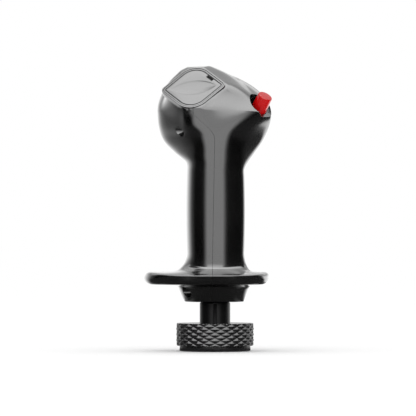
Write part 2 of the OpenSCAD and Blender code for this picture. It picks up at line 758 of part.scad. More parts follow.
// Thumb plate: a lens shaped dish turned from one arc, and a notch to lift it by
module thumb_plate() color([0.13, 0.13, 0.14]) on_plate() {
    arc_r = (dish_len * dish_len / 4 + dish_w * dish_w / 4) / dish_w;
    difference() {
        slab(frame_z + seat_fit, -0.1) rim_outline(plate_in);
        translate([0, 0, -0.1])
            scale([1, 1, dish_depth / (dish_w / 2)])
                rotate([0, 90, 0])
                    rotate_extrude()
                        intersection() {
                            translate([dish_w / 2 - arc_r, 0]) circle(arc_r, $fn = 96);
                            translate([0, -dish_len / 2]) square([dish_w, dish_len]);
                        }
        rotate(45) translate([rim_side / 2 - plate_in - notch_w, -notch_len / 2 - 2.4, -1.3]) cube([notch_w + 2, notch_len, 3]);
        slab(frame_z - 1, frame_z + 0.75) magnet_places() circle(d = magnet_d + 2 * seat_fit);
    }
}

// Hat switch: a cup on the floor of the well, a gimbal ring in it and the hat on the ring
cup_r = 5.6;
ring_r = 4.8;
post_r = 1.5;
axle_r = 0.7;
module hat_base() color([0.1, 0.2, 0.32]) on_plate() difference() {
    union() {
        slab(well_z + seat_fit, well_z + 1) rotate(45) square(hat_side + 3, center = true);
        slab(well_z - 7, well_z + 0.5) rotate(45) square(hat_side, center = true);
    }
    slab(well_z - 5.5, well_z + 3) circle(cup_r);
    translate([0, 0, hat_pivot_z]) rotate([0, 90, 0]) cylinder(r = axle_r + run_fit, h = 2 * cup_r + 1.6, center = true);
}
module hat_gimbal() color([0.75, 0.75, 0.7]) on_plate() translate([0, 0, hat_pivot_z]) difference() {
    union() {
        slab(-1.1, 1.1) circle(ring_r);
        rotate([0, 90, 0]) cylinder(r = axle_r, h = 2 * cup_r + 1.2, center = true);
    }
    slab(-2, 2) circle(ring_r - 1.4);
    rotate([90, 0, 0]) cylinder(r = axle_r + run_fit, h = 2 * ring_r + 2, center = true);
}
module hat_cap() color([0.08, 0.08, 0.09]) on_plate() translate([0, 0, hat_pivot_z]) {
    slab(-1, hat_rise + 0.5) circle(post_r);
    rotate([90, 0, 0]) cylinder(r = axle_r, h = 2 * ring_r - 0.4, center = true);
    difference() {
        slab(hat_rise, hat_rise + hat_cap_h) circle(hat_r);
        translate([0, 0, hat_rise + hat_cap_h + 11.2]) sphere(12.3);
        for (a = [0:90:270]) rotate(a) translate([hat_r + 0.7, 0, hat_rise - 1]) cylinder(r = 1.7, h = hat_cap_h + 2);
    }
}

// Takeover button and what lies behind it
module takeover_button() color([0.8, 0.02, 0.02]) on_button() {
    translate([0, 0, -floor_t]) cylinder(r1 = button_base_r, r2 = button_base_r - 0.02, h = floor_t);
    cylinder(r1 = button_base_r - 0.02, r2 = button_d / 2, h = button_h - 0.5);
    translate([0, 0, button_h - 0.5]) cylinder(r1 = button_d / 2, r2 = button_d / 2 - 0.4, h = 0.5);
    slab(-floor_t - flange_t, -floor_t - seat_fit) circle(chamber_r - free_fit);
    slab(-floor_t - 0.3, -floor_t + 0.3) circle(button_base_r - 0.3);
    slab(guide_z + switch_h + 0.7 + button_travel, -floor_t - flange_t + 0.2) circle(1.5);
}
module button_board() color([0.1, 0.35, 0.18]) on_button()
    slab(guide_z - board_t - seat_fit, guide_z - seat_fit) circle(button_board_r);
module button_switch() color([0.2, 0.2, 0.2]) on_button() {
    slab(guide_z, guide_z + switch_h) square(5.6, center = true);
    slab(guide_z + switch_h - 0.1, guide_z + switch_h + 0.6) circle(1.6);
}

// A coil of round wire about Z from z0 to z1
module coil(r, wire, z0, z1, turns) {
    per = 12;
    ring = 6;
    steps = turns * per;
    points = [
        for (i = [0:steps])
            let (a = 360 * i / per, z = mix(z0 + wire / 2, z1 - wire / 2, i / steps))
            for (k = [0:ring - 1])
                let (b = 360 * k / ring, d = r + wire / 2 * cos(b))
                [d * cos(a), d * sin(a), z + wire / 2 * sin(b)]
    ];
    faces = concat(
        [
            for (i = [0:steps - 1])
                for (k = [0:ring - 1])
                    let (a = i * ring + k, b = i * ring + (k + 1) % ring)
                    each [[a, b, b + ring], [a, b + ring, a + ring]]
        ],
        [[for (k = [ring - 1:-1:0]) k]],
        [[for (k = [0:ring - 1]) steps * ring + k]]
    );
    polyhedron(points, faces, convexity = 8);
}
module button_spring() color([0.6, 0.6, 0.62]) on_button()
    coil(chamber_r - 0.9, 0.6, guide_z + 0.02, -floor_t - flange_t - 0.02, 5);

// Trigger: blade with a finger hollow, on a cross pin
blade_y = hinge_y + 4.5;
back_y = hinge_y - 0.5;
module trigger_profile() difference() {
    union() {
        translate([hinge_y, hinge_z]) circle(hub_r);
        hull() {
            translate([hinge_y, hinge_z]) circle(hub_r - 0.4);
            translate([hinge_y + 10.5, hinge_z - 5.5]) circle(2.2);
            translate([blade_y, trigger_tip_z]) circle(1.8);
            translate([back_y, press_z]) circle(2);
        }
    }
    translate([hinge_y + 24, hinge_z - 18]) circle(17, $fn = 96);
    translate([hinge_y, hinge_z]) circle(pin_d / 2 + run_fit);
}
module trigger() color([0.1, 0.1, 0.11]) translate([-trigger_w / 2, 0, 0])
    rotate([90, 0, 90]) linear_extrude(trigger_w) trigger_profile();
module trigger_pin() color([0.65, 0.65, 0.67]) along_x(-pin_end, pin_end, hinge_y, hinge_z, pin_d / 2);

// Boards and switches in the handle
switch_back = board_y + board_t;
function trigger_back(z) = mix(back_y - 2, hinge_y - hub_r + 0.4, clamp01((z - press_z) / (hinge_z - press_z)));
module main_board() color([0.1, 0.35, 0.18])
    translate([-board_w / 2, board_y, board_z]) cube([board_w, board_t, board_len]);
module trigger_switch() color([0.15, 0.15, 0.16]) {
    translate([-6, switch_back + seat_fit, press_z - 3]) cube([12, 5.5, 6]);
    along_y(switch_back + 5, trigger_back(press_z) - (hinge_z - press_z) * sin(trigger_angle) - 0.3, 0, press_z, 1.2);
}
module trigger_spring() color([0.6, 0.6, 0.62])
    translate([0, switch_back, spring_z]) rotate([-90, 0, 0])
        coil(2.2, 0.5, 0.02, trigger_back(spring_z) - switch_back - 0.1, 5);
module board_header() color([0.85, 0.83, 0.76])
    translate([-5, board_y - header_d - seat_fit, header_z]) cube([10, header_d, 7]);

// Cable: from the connector straight up the stem to the header
cable_d = 4.4;
cable_y = 2.4;
block_top = foot_z + 12;
module signal_cable() color([0.05, 0.05, 0.05]) translate([0, cable_y, block_top + seat_fit])
    cylinder(d = cable_d, h = header_z - block_top - 2 * seat_fit);

// Stem with the foot that the nut pulls on, its key groove and the hexagon that the shells hold
module stem() color([0.1, 0.1, 0.11]) difference() {
    union() {
        translate([0, 0, foot_z]) cylinder(d = foot_d, h = foot_h);
        translate([0, 0, foot_z]) cylinder(d = stem_d, h = collar_z - 0.8 - foot_z);
        translate([0, 0, collar_z - 0.8]) cylinder(d1 = stem_d, d2 = spigot_d, h = 0.8);
        translate([0, 0, collar_z - 0.5]) cylinder(d = spigot_d, h = hex_z - collar_z + 1);
        translate([0, 0, hex_z]) cylinder(d = hex_af / cos(30), h = hex_h, $fn = 6);
    }
    translate([0, 0, foot_z - 1]) cylinder(d = stem_bore_d, h = hex_z + hex_h - foot_z + 2);
    translate([-key_w / 2, -stem_d, web_z - 1]) cube([key_w, stem_d / 2 + key_depth, collar_z - web_z + 0.2]);
}

// Knurled drum: rows of diamonds, each a low pyramid
module knurl(z0, z1, r) {
    cols = 2 * knurl_count;
    rows = 2 * knurl_rows;
    points = concat(
        [
            for (k = [0:rows])
                for (i = [0:cols - 1])
                    let (
                        top = (i + k) % 2 == 1,
                        edge = k == 0 || k == rows,
                        rr = top ? r - (edge ? knurl_depth / 2 : 0) : r - knurl_depth,
                        a = 360 * i / cols - 90
                    )
                    [rr * cos(a), rr * sin(a), mix(z0, z1, k / rows)]
        ],
        [[0, 0, z0], [0, 0, z1]]
    );
    low = len(points) - 2;
    faces = concat(
        [
            for (k = [0:rows - 1])
                for (i = [0:cols - 1])
                    let (
                        a = k * cols + i,
                        b = k * cols + (i + 1) % cols,
                        c = b + cols,
                        d = a + cols
                    )
                    each (i + k) % 2 == 0 ? [[a, c, b], [a, d, c]] : [[a, d, b], [b, d, c]]
        ],
        [for (i = [0:cols - 1]) [low, i, (i + 1) % cols]],
        [for (i = [0:cols - 1]) [low + 1, rows * cols + (i + 1) % cols, rows * cols + i]]
    );
    polyhedron(points, faces, convexity = 4);
}
module coupling_nut() color([0.14, 0.14, 0.15]) difference() {
    union() {
        translate([0, 0, 0.6]) cylinder(d = nut_rim_d, h = nut_rim_h);
        cylinder(d1 = nut_rim_d - 1, d2 = nut_rim_d, h = 0.6);
        knurl(nut_rim_h, nut_h, nut_d / 2);
    }
    translate([0, 0, -1]) cylinder(d = thread_d, h = thread_len + 1);
    translate([0, 0, thread_len - 0.1]) cylinder(d = foot_d + 4 * free_fit, h = web_z - thread_len + 0.1);
    translate([0, 0, web_z - 1]) cylinder(d = stem_d + 2 * run_fit, h = nut_h);
}

// Plug-in end: block in the bore of the stem with contact sleeves
contact_ring = stem_bore_d / 2 - 2.3;
module contacts() for (a = [0:72:288]) rotate(a) translate([contact_ring, 0]) children();
module connector_block() color([0.1, 0.1, 0.1]) difference() {
    slab(foot_z + 0.2, block_top) circle(stem_bore_d / 2 - seat_fit);
    slab(foot_z - 1, block_top + 1) contacts() circle(0.85 + seat_fit);
}
module contact_sleeves() color([0.8, 0.65, 0.3]) difference() {
    slab(foot_z + 0.4, block_top - 0.02) contacts() circle(0.85);
    slab(foot_z - 1, foot_z + 8) contacts() circle(0.5);
}

left_shell();
right_shell();
shell_screws();
threaded_inserts();
hat_frame();
thumb_plate();
plate_magnets();
plate_keepers();
hat_base();
hat_gimbal();
hat_cap();
takeover_button();
button_spring();
button_switch();
button_board();
trigger();
trigger_pin();
trigger_spring();
trigger_switch();
main_board();
board_header();
signal_cable();
stem();
coupling_nut();
connector_block();
contact_sleeves();
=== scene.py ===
"""Dressed model of a flight simulator sidestick grip on its threaded coupling.

The packed CAD model is the fixed frame. Pieces are modelled in millimetres, in the frame of
the part's source, then brought to metres and set to ride on their CAD bodies.
"""

import logging
import math
from dataclasses import dataclass, field, replace
from enum import Enum
from typing import Callable, Iterable, Sequence

import bmesh
import bpy
from bmesh.types import BMEdge, BMesh, BMVert
from mathutils import Matrix, Vector

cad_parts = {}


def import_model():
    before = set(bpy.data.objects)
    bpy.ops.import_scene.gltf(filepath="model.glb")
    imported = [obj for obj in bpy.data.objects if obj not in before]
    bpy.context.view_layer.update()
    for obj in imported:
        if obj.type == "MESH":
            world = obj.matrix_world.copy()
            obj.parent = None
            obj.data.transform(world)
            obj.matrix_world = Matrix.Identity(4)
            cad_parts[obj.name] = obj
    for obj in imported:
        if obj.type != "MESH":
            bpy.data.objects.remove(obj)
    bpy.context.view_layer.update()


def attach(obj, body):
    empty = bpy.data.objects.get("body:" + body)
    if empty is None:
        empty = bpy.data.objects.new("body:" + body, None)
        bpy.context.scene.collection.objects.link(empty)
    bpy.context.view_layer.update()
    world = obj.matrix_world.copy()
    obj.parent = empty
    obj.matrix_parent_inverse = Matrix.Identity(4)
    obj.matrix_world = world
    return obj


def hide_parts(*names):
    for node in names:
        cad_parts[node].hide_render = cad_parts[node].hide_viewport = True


LOG = logging.getLogger("sidestick")
MM = 0.001
CLEAR = 60.0  # how far a tool reaches to run clear of the part, in millimetres
WELD = 1e-4  # points closer than this are merged, in millimetres
X_AXIS, Z_AXIS = (1.0, 0.0, 0.0), (0.0, 0.0, 1.0)
Colour = tuple[float, float, float]
Knots = Sequence[tuple[float, float]]
Inputs = dict[str | int, object]


def mix(a: float, b: float, t: float) -> float:
    """Value at share t of the way from a to b."""
    return a + (b - a) * t


def clamp01(t: float) -> float:
    """Value held between 0 and 1."""
    return max(0.0, min(1.0, t))


def ease(t: float) -> float:
    """Smooth step from 0 to 1."""
    u = clamp01(t)
    return u * u * (3.0 - 2.0 * u)


def soft_max(a: float, b: float, k: float) -> float:
    """Larger of two values, rounded off within k of where they cross."""
    h = max(k - abs(a - b), 0.0) / k
    return max(a, b) + h * h * k / 4.0


def signed_pow(value: float, power: float) -> float:
    """Power of the size of a value, with its sign kept."""
    return math.copysign(abs(value) ** power, value)


def curve(knots: Knots, s: float) -> float:
    """Height of a smooth curve through knots.

    Args:
        knots: pairs of place and value, in order of place.
        s: place at which the curve is read.

    Returns:
        The value there, held at the end values outside the knots.
    """
    last = len(knots) - 1
    i = 0
    while i < last - 1 and s >= knots[i + 1][0]:
        i += 1

    def slope(n: int) -> float:
        """Slope of the curve at knot n."""
        a, b = knots[max(n - 1, 0)], knots[min(n + 1, last)]
        return (b[1] - a[1]) / (b[0] - a[0])

    d = knots[i + 1][0] - knots[i][0]
    t = clamp01((s - knots[i][0]) / d)
    t2, t3 = t * t, t * t * t
    return (
        knots[i][1] * (2 * t3 - 3 * t2 + 1)
        + slope(i) * d * (t3 - 2 * t2 + t)
        + knots[i + 1][1] * (3 * t2 - 2 * t3)
        + slope(i + 1) * d * (t3 - t2)
    )


class Join(Enum):
    """How a tool solid works on a piece."""

    ADD = "UNION"
    TAKE = "DIFFERENCE"


class Side(Enum):
    """The two moulded halves of the grip."""

    LEFT = -1
    RIGHT = 1


class Bench:
    """Turns meshes in millimetres into finished pieces in metres."""

    MERGE = 2e-3  # points of a CAD mesh closer than this are merged, in millimetres
    FLAT = math.radians(0.6)  # faces of a CAD mesh that turn by less are joined

    @staticmethod
    def to_object(bm: BMesh, name: str) -> bpy.types.Object:
        """Make an object from a mesh under construction.

        Args:
            bm: the mesh, which is freed.
            name: name of the new object.

        Returns:
            The object, linked to the scene.
        """
        mesh = bpy.data.meshes.new(name)
        bm.to_mesh(mesh)
        bm.free()
        piece = bpy.data.objects.new(name, mesh)
        bpy.context.scene.collection.objects.link(piece)
        return piece

    @classmethod
    def work(cls, piece: bpy.types.Object, tool: BMesh, how: Join) -> None:
        """Join a tool solid to a piece, or cut it out of the piece.

        Args:
            piece: the object that changes.
            tool: the tool solid, which is used up.
            how: what the tool does.
        """
        helper = cls.to_object(tool, "tool")
        step = piece.modifiers.new("work", "BOOLEAN")
        step.operation = how.value
        step.solver = "MANIFOLD"
        step.object = helper
        graph = bpy.context.evaluated_depsgraph_get()
        mesh = bpy.data.meshes.new_from_object(piece.evaluated_get(graph))
        piece.modifiers.clear()
        old, piece.data = piece.data, mesh
        mesh.name = piece.name
        bpy.data.meshes.remove(old)
        used = helper.data
        bpy.data.objects.remove(helper)
        bpy.data.meshes.remove(used)

    @staticmethod
    def finish(
        piece: bpy.types.Object,
        body: str,
        slot: str,
        material: bpy.types.Material,
        nodes: Sequence[str] = (),
        sharp: float = 30.0,
    ) -> bpy.types.Object:
        """Bring a piece to metres, shade it and hand it to the frame.

        Args:
            piece: object modelled in millimetres.
            body: CAD body that it moves with.
            slot: material slot of the record; not used.
            material: its finish.
            nodes: CAD nodes that it stands for.
            sharp: angle in degrees over which an edge stays crisp.

        Returns:
            The same object.
        """
        mesh = piece.data
        mesh.transform(Matrix.Scale(MM, 4))
        mesh.shade_smooth()
        mesh.set_sharp_from_angle(angle=math.radians(sharp))
        mesh.materials.clear()
        mesh.materials.append(material)
        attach(piece, body)
        if nodes:
            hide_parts(*nodes)
        LOG.info("%s: %d faces on %s", piece.name, len(mesh.polygons), body)
        return piece

    @staticmethod
    def close(bm: BMesh) -> None:
        """Merge doubles, fill open ends and turn all faces outwards."""
        bmesh.ops.remove_doubles(bm, verts=bm.verts[:], dist=WELD)
        rims = [edge for edge in bm.edges if edge.is_boundary]
        if rims:
            bmesh.ops.holes_fill(bm, edges=rims, sides=0)
        bmesh.ops.recalc_face_normals(bm, faces=bm.faces[:])

    @staticmethod
    def spun(
        line: Sequence[Sequence[float]], axis: Sequence[float], angle: float, steps: int
    ) -> BMesh:
        """Turn a line of points about an axis through the origin.

        Args:
            line: the points.
            axis: direction of the axis.
            angle: how far the line turns, in radians.
            steps: flats along the turn.

        Returns:
            The surface, which a full turn closes.
        """
        bm = bmesh.new()
        verts = [bm.verts.new(point) for point in line]
        edges = [bm.edges.new(pair) for pair in zip(verts, verts[1:])]
        bmesh.ops.spin(
            bm,
            geom=verts + edges,
            cent=(0.0, 0.0, 0.0),
            axis=axis,
            angle=angle,
            steps=steps,
            use_merge=math.isclose(angle, math.tau),
        )
        return bm

    @classmethod
    def turned(cls, profile: Knots, steps: int = 96) -> BMesh:
        """Turn a profile about Z.

        Args:
            profile: pairs of radius and height, from the axis back to the axis.
            steps: flats round the body.

        Returns:
            The closed solid.
        """
        bm = cls.spun([(radius, 0.0, z) for radius, z in profile], Z_AXIS, math.tau, steps)
        cls.close(bm)
        return bm

    @staticmethod
    def turn_z(bm: BMesh, degrees: float) -> None:
        """Turn a mesh about Z."""
        turn = Matrix.Rotation(math.radians(degrees), 3, "Z")
        bmesh.ops.rotate(bm, matrix=turn, verts=bm.verts[:])

    @classmethod
    def rod(cls, radius: float, z0: float, z1: float, steps: int = 64) -> BMesh:
        """Round rod along Z from z0 to z1."""
        return cls.turned([(0.0, z0), (radius, z0), (radius, z1), (0.0, z1)], steps)

    @classmethod
    def rod_x(cls, radius: float, x0: float, x1: float, y: float, z: float) -> BMesh:
        """Round rod along X from x0 to x1."""
        bm = cls.rod(radius, x0, x1, 48)
        turn = Matrix.Translation((0.0, y, z)) @ Matrix.Rotation(math.radians(90), 4, "Y")
        bmesh.ops.transform(bm, matrix=turn, verts=bm.verts[:])
        return bm

    @staticmethod
    def block(low: Sequence[float], high: Sequence[float]) -> BMesh:
        """Block between two corners."""
        bm = bmesh.new()
        bmesh.ops.create_cube(bm, size=1.0)
        size = [b - a for a, b in zip(low, high)]
        middle = [(a + b) / 2 for a, b in zip(low, high)]
        bmesh.ops.scale(bm, vec=size, verts=bm.verts[:])
        bmesh.ops.translate(bm, vec=middle, verts=bm.verts[:])
        return bm

    @staticmethod
    def push(bm: BMesh, step: Sequence[float]) -> None:
        """Push the flat faces of a mesh along a step, so that they enclose a solid."""
        made = bmesh.ops.extrude_face_region(bm, geom=bm.faces[:])
        far = [item for item in made["geom"] if isinstance(item, BMVert)]
        bmesh.ops.translate(bm, vec=step, verts=far)
        bmesh.ops.recalc_face_normals(bm, faces=bm.faces[:])

    @classmethod
    def prism(cls, bm: BMesh, z0: float, z1: float) -> None:
        """Raise the flat faces of a mesh at z = 0 to a solid from z0 to z1."""
        bmesh.ops.translate(bm, vec=(0.0, 0.0, z0), verts=bm.verts[:])
        cls.push(bm, (0.0, 0.0, z1 - z0))

    @staticmethod
    def round_edges(bm: BMesh, edges: Iterable[BMEdge], width: float, segments: int = 3) -> None:
        """Round the given edges.

        Args:
            bm: mesh that holds them.
            edges: edges to round.
            width: width of the round in millimetres.
            segments: steps across the round.
        """
        bmesh.ops.bevel(
            bm,
            geom=list(edges),
            offset=width,
            offset_type="OFFSET",
            affect="EDGES",
            segments=segments,
            profile=0.5,
            clamp_overlap=True,
            material=-1,
        )

    @classmethod
    def softened(cls, node: str, width: float, angle: float = 35.0) -> BMesh:
        """Copy of a CAD node with its sharp edges rounded.

        Args:
            node: name of the CAD node.
            width: width of the round in millimetres.
            angle: edges sharper than this many degrees are rounded.

        Returns:
            The copy, in millimetres.
        """
        bm = bmesh.new()
        bm.from_mesh(bpy.data.objects[node].data)
        bmesh.ops.scale(bm, vec=(1 / MM, 1 / MM, 1 / MM), verts=bm.verts[:])
        bmesh.ops.remove_doubles(bm, verts=bm.verts[:], dist=cls.MERGE)
        bmesh.ops.dissolve_limit(
            bm, angle_limit=cls.FLAT, verts=bm.verts[:], edges=bm.edges[:]
        )
        limit = math.radians(angle)
        keen = [e for e in bm.edges if e.is_manifold and e.calc_face_angle(0.0) > limit]
        cls.round_edges(bm, keen, width, 2)
        return bm


@dataclass(frozen=True)
class Section:
    """A level cut of the outside: its middle, its reaches and the fullness of its corners."""

    mid_x: float
    mid_y: float
    left: float
    right: float
    rear: float
    front: float
    left_power: float = 2.0
    right_power: float = 2.0
    keel: float = 0.0
    skew: float = 0.0

    KEEL_REACH = 16.0
    POWER_SPAN = 0.9

    def plan(self, angle: float, part: float) -> tuple[float, float]:
        """Point of the cut.

        Args:
            angle: 0 to the rear, a quarter turn to the right, in radians.
            part: X of the line where the halves meet, which the keel follows.

        Returns:
            X and Y of the point.
        """
        sine, cosine = math.sin(angle), math.cos(angle)
        share = ease(0.5 + sine / self.POWER_SPAN)
        power = 2.0 / mix(self.left_power, self.right_power, share)
        x = self.mid_x + (self.right if sine >= 0 else self.left) * signed_pow(sine, power)
        y = self.mid_y - (self.rear if cosine >= 0 else self.front) * signed_pow(cosine, power)
        keel = self.keel * max(0.0, 1.0 - abs(x - part) / self.KEEL_REACH)
        return x, y - math.copysign(keel, cosine) + self.skew * min(0.0, x - self.mid_x)

    def shrunk(self, wall: float) -> "Section":
        """The same cut, a wall's thickness further in and without its keel."""
        return replace(
            self,
            left=self.left - wall,
            right=self.right - wall,
            rear=self.rear - wall,
            front=self.front - wall,
            keel=0.0,
        )


class RidgedSection:
    """A level cut of the grip whose rear is set by how its face turns from rear to side."""

    STEPS = 72
    STEEPEST = math.radians(89.6)

    def __init__(
        self,
        rear_y: float,
        front_y: float,
        reaches: tuple[float, float],
        turns: tuple[Knots, Knots],
    ) -> None:
        """Work out the depth of the cut from the way its face turns.

        Args:
            rear_y: Y of its rear.
            front_y: Y of its front.
            reaches: reach to the left and to the right.
            turns: for each side, pairs of distance from the middle and turn in degrees.
        """
        self.rear_y, self.front_y, self.reaches = rear_y, front_y, reaches
        self.depths = tuple(self.depth(reach, turn) for reach, turn in zip(reaches, turns))

    @classmethod
    def depth(cls, reach: float, turn: Knots) -> list[float]:
        """Depth behind the rear at even steps of a quarter turn.

        Args:
            reach: reach of this side.
            turn: pairs of distance from the middle and turn in degrees.

        Returns:
            The depths, from 0 at the middle to the depth of the widest place.
        """
        knots = [(math.asin(min(1.0, x / reach)), math.radians(a)) for x, a in turn]
        step = math.pi / 2 / cls.STEPS
        depths, total = [0.0], 0.0
        for i in range(cls.STEPS):
            t = (i + 0.5) * step
            total += math.tan(min(curve(knots, t), cls.STEEPEST)) * math.cos(t) * reach * step
            depths.append(total)
        return depths

    def plan(self, angle: float, _part: float) -> tuple[float, float]:
        """Point of the cut, asked for as in Section.

        Args:
            angle: 0 to the rear, a quarter turn to the right, in radians.
            _part: X of the line where the halves meet, which this cut doesn't follow.

        Returns:
            X and Y of the point.
        """
        sine, cosine = math.sin(angle), math.cos(angle)
        side = 1 if sine >= 0 else 0
        x, depths = self.reaches[side] * sine, self.depths[side]
        if cosine >= 0:
            place = abs(math.asin(sine)) / (math.pi / 2) * self.STEPS
            i = min(int(place), self.STEPS - 1)
            return x, self.rear_y + mix(depths[i], depths[i + 1], place - i)
        return x, mix(self.rear_y + depths[-1], self.front_y, -cosine)


@dataclass(frozen=True)
class Level:
    """One row of a loft: its nominal height and where its points lie."""

    z: float
    place: Callable[[float, float], Vector]

    def rear_angle(self, part: float) -> float:
        """Angle at which the row meets the plane X = part, at the rear."""
        low, high = -math.pi / 2, math.pi / 2
        for _ in range(36):
            middle = (low + high) / 2
            if self.place(middle, part).x < part:
                low = middle
            else:
                high = middle
        return (low + high) / 2


@dataclass(frozen=True)
class Seat:
    """A place on the grip with a frame of its own: turned about Z, leaned back and rolled."""

    centre: tuple[float, float, float] = (0.0, 0.0, 0.0)
    yaw: float = 0.0
    lean: float = 0.0
    roll: float = 0.0

    @property
    def matrix(self) -> Matrix:
        """Frame of the seat: Z leaves the grip."""
        frame = Matrix.Translation(self.centre)
        for angle, axis in ((self.yaw, "Z"), (self.lean, "X"), (self.roll, "Z")):
            frame = frame @ Matrix.Rotation(math.radians(angle), 4, axis)
        return frame

    def settle(self, bm: BMesh) -> BMesh:
        """Move a mesh from the seat's frame to the grip's."""
        bmesh.ops.transform(bm, matrix=self.matrix, verts=bm.verts[:])
        return bm


@dataclass(frozen=True)
class PlateSeat(Seat):
    """Place of the thumb plate on the head, and the rim that it lies in."""

    centre: tuple[float, float, float] = (-12.2, -11.2, 148.5)
    yaw: float = -16.2
    lean: float = 51.8
    roll: float = 5.9
    rim_side: float = 27.5
    rim_r_side: float = 3.0
    rim_r_end: float = 11.3
    rim_proud: float = 1.2
    rim_depth: float = 3.6
    lip: float = 0.8
    frame_gap: float = 0.25
    frame_lip: float = 0.8
    plate_gap: float = 0.35
    plate_thick: float = 2.4
    plate_sink: float = 0.1
    ledge_thick: float = 1.7
    well_z: float = -11.0
    hat_side: float = 14.0

    @property
    def normal(self) -> Vector:
        """Direction in which the plate faces."""
        yaw, lean = math.radians(self.yaw), math.radians(self.lean)
        return Vector(
            (math.sin(yaw) * math.sin(lean), -math.cos(yaw) * math.sin(lean), math.cos(lean))
        )

    @property
    def frame_z(self) -> float:
        """Level of the frame's ledge under the plate."""
        return -self.plate_thick - self.plate_sink

    @property
    def seat_z(self) -> float:
        """Level of the seat under the frame."""
        return self.frame_z - self.ledge_thick

    @property
    def plate_inset(self) -> float:
        """Distance from the rim's outline to the plate's."""
        return self.lip + self.frame_gap + self.frame_lip + self.plate_gap

    def direction(self, angle: float) -> Vector:
        """Direction in the plate at an angle in degrees from its level line."""
        turn = self.matrix.to_3x3() @ Matrix.Rotation(math.radians(angle - self.roll), 3, "Z")
        return turn @ Vector(X_AXIS)

    def outline(self, inset: float) -> BMesh:
        """Flat rounded diamond, set in from the rim's outline.

        Args:
            inset: distance inwards in millimetres.

        Returns:
            One flat face at z = 0, in the plate's frame.
        """
        bm = bmesh.new()
        reach = (self.rim_side - 2 * inset) / math.sqrt(2)
        bmesh.ops.create_circle(bm, cap_ends=True, segments=4, radius=reach)
        tips = [v for v in bm.verts if abs(v.co.x) > abs(v.co.y)]
        ends = [v for v in bm.verts if abs(v.co.y) >= abs(v.co.x)]
        for verts, radius, steps in (
            (tips, self.rim_r_side, 10),
            (ends, self.rim_r_end, 22),
        ):
            if radius - inset > 0.05:
                bmesh.ops.bevel(
                    bm,
                    geom=verts,
                    offset=radius - inset,
                    offset_type="OFFSET",
                    affect="VERTICES",
                    segments=steps,
                    profile=0.5,
                    material=-1,
                )
        return bm

    def slab(self, inset: float, z0: float, z1: float, edge: float = 0.0) -> BMesh:
        """Solid on the rounded diamond, in the plate's frame.

        Args:
            inset: distance in from the rim's outline.
            z0: lower level.
            z1: upper level.
            edge: width of the round along its upper edge.

        Returns:
            The closed solid.
        """
        bm = self.outline(inset)
        Bench.prism(bm, z0, z1)
        if edge > 0:
            keen = [e for e in bm.edges if all(abs(v.co.z - z1) < 1e-6 for v in e.verts)]
            Bench.round_edges(bm, keen, edge, 4)
        return bm

    def square(self, side: float, z0: float, z1: float) -> BMesh:
        """Square solid that stands on its corner like the plate, in the plate's frame."""
        bm = Bench.block((-side / 2, -side / 2, z0), (side / 2, side / 2, z1))
        Bench.turn_z(bm, 45)
        return bm


@dataclass(frozen=True)
class ButtonSeat(Seat):
    """Place of the takeover button and its round pocket."""

    centre: tuple[float, float, float] = (24.4, -6.6, 136.2)
    yaw: float = 43.9
    lean: float = 37.4
    pocket_d: float = 15.6
    button_d: float = 8.3
    button_h: float = 9.5
    pocket_wall: float = 1.8
    floor_thick: float = 1.8
    flange_thick: float = 1.4
    guide_z: float = -10.0
    board_thick: float = 1.6
    play: float = 0.3
    travel: float = 2.5
    switch_h: float = 3.2
    foot_flare: float = 0.45
    flange_w: float = 0.8
    guide_wall: float = 1.6
    board_inset: float = 0.8

    @property
    def base_r(self) -> float:
        """Radius of the button at its foot."""
        return self.button_d / 2 + self.foot_flare

    @property
    def chamber_r(self) -> float:
        """Radius of the spring chamber."""
        return self.base_r + self.flange_w

    @property
    def guide_r(self) -> float:
        """Radius of the guide tube round the chamber."""
        return self.chamber_r + self.guide_wall

    @property
    def board_r(self) -> float:
        """Radius of the switch's board under the guide."""
        return self.guide_r - self.board_inset


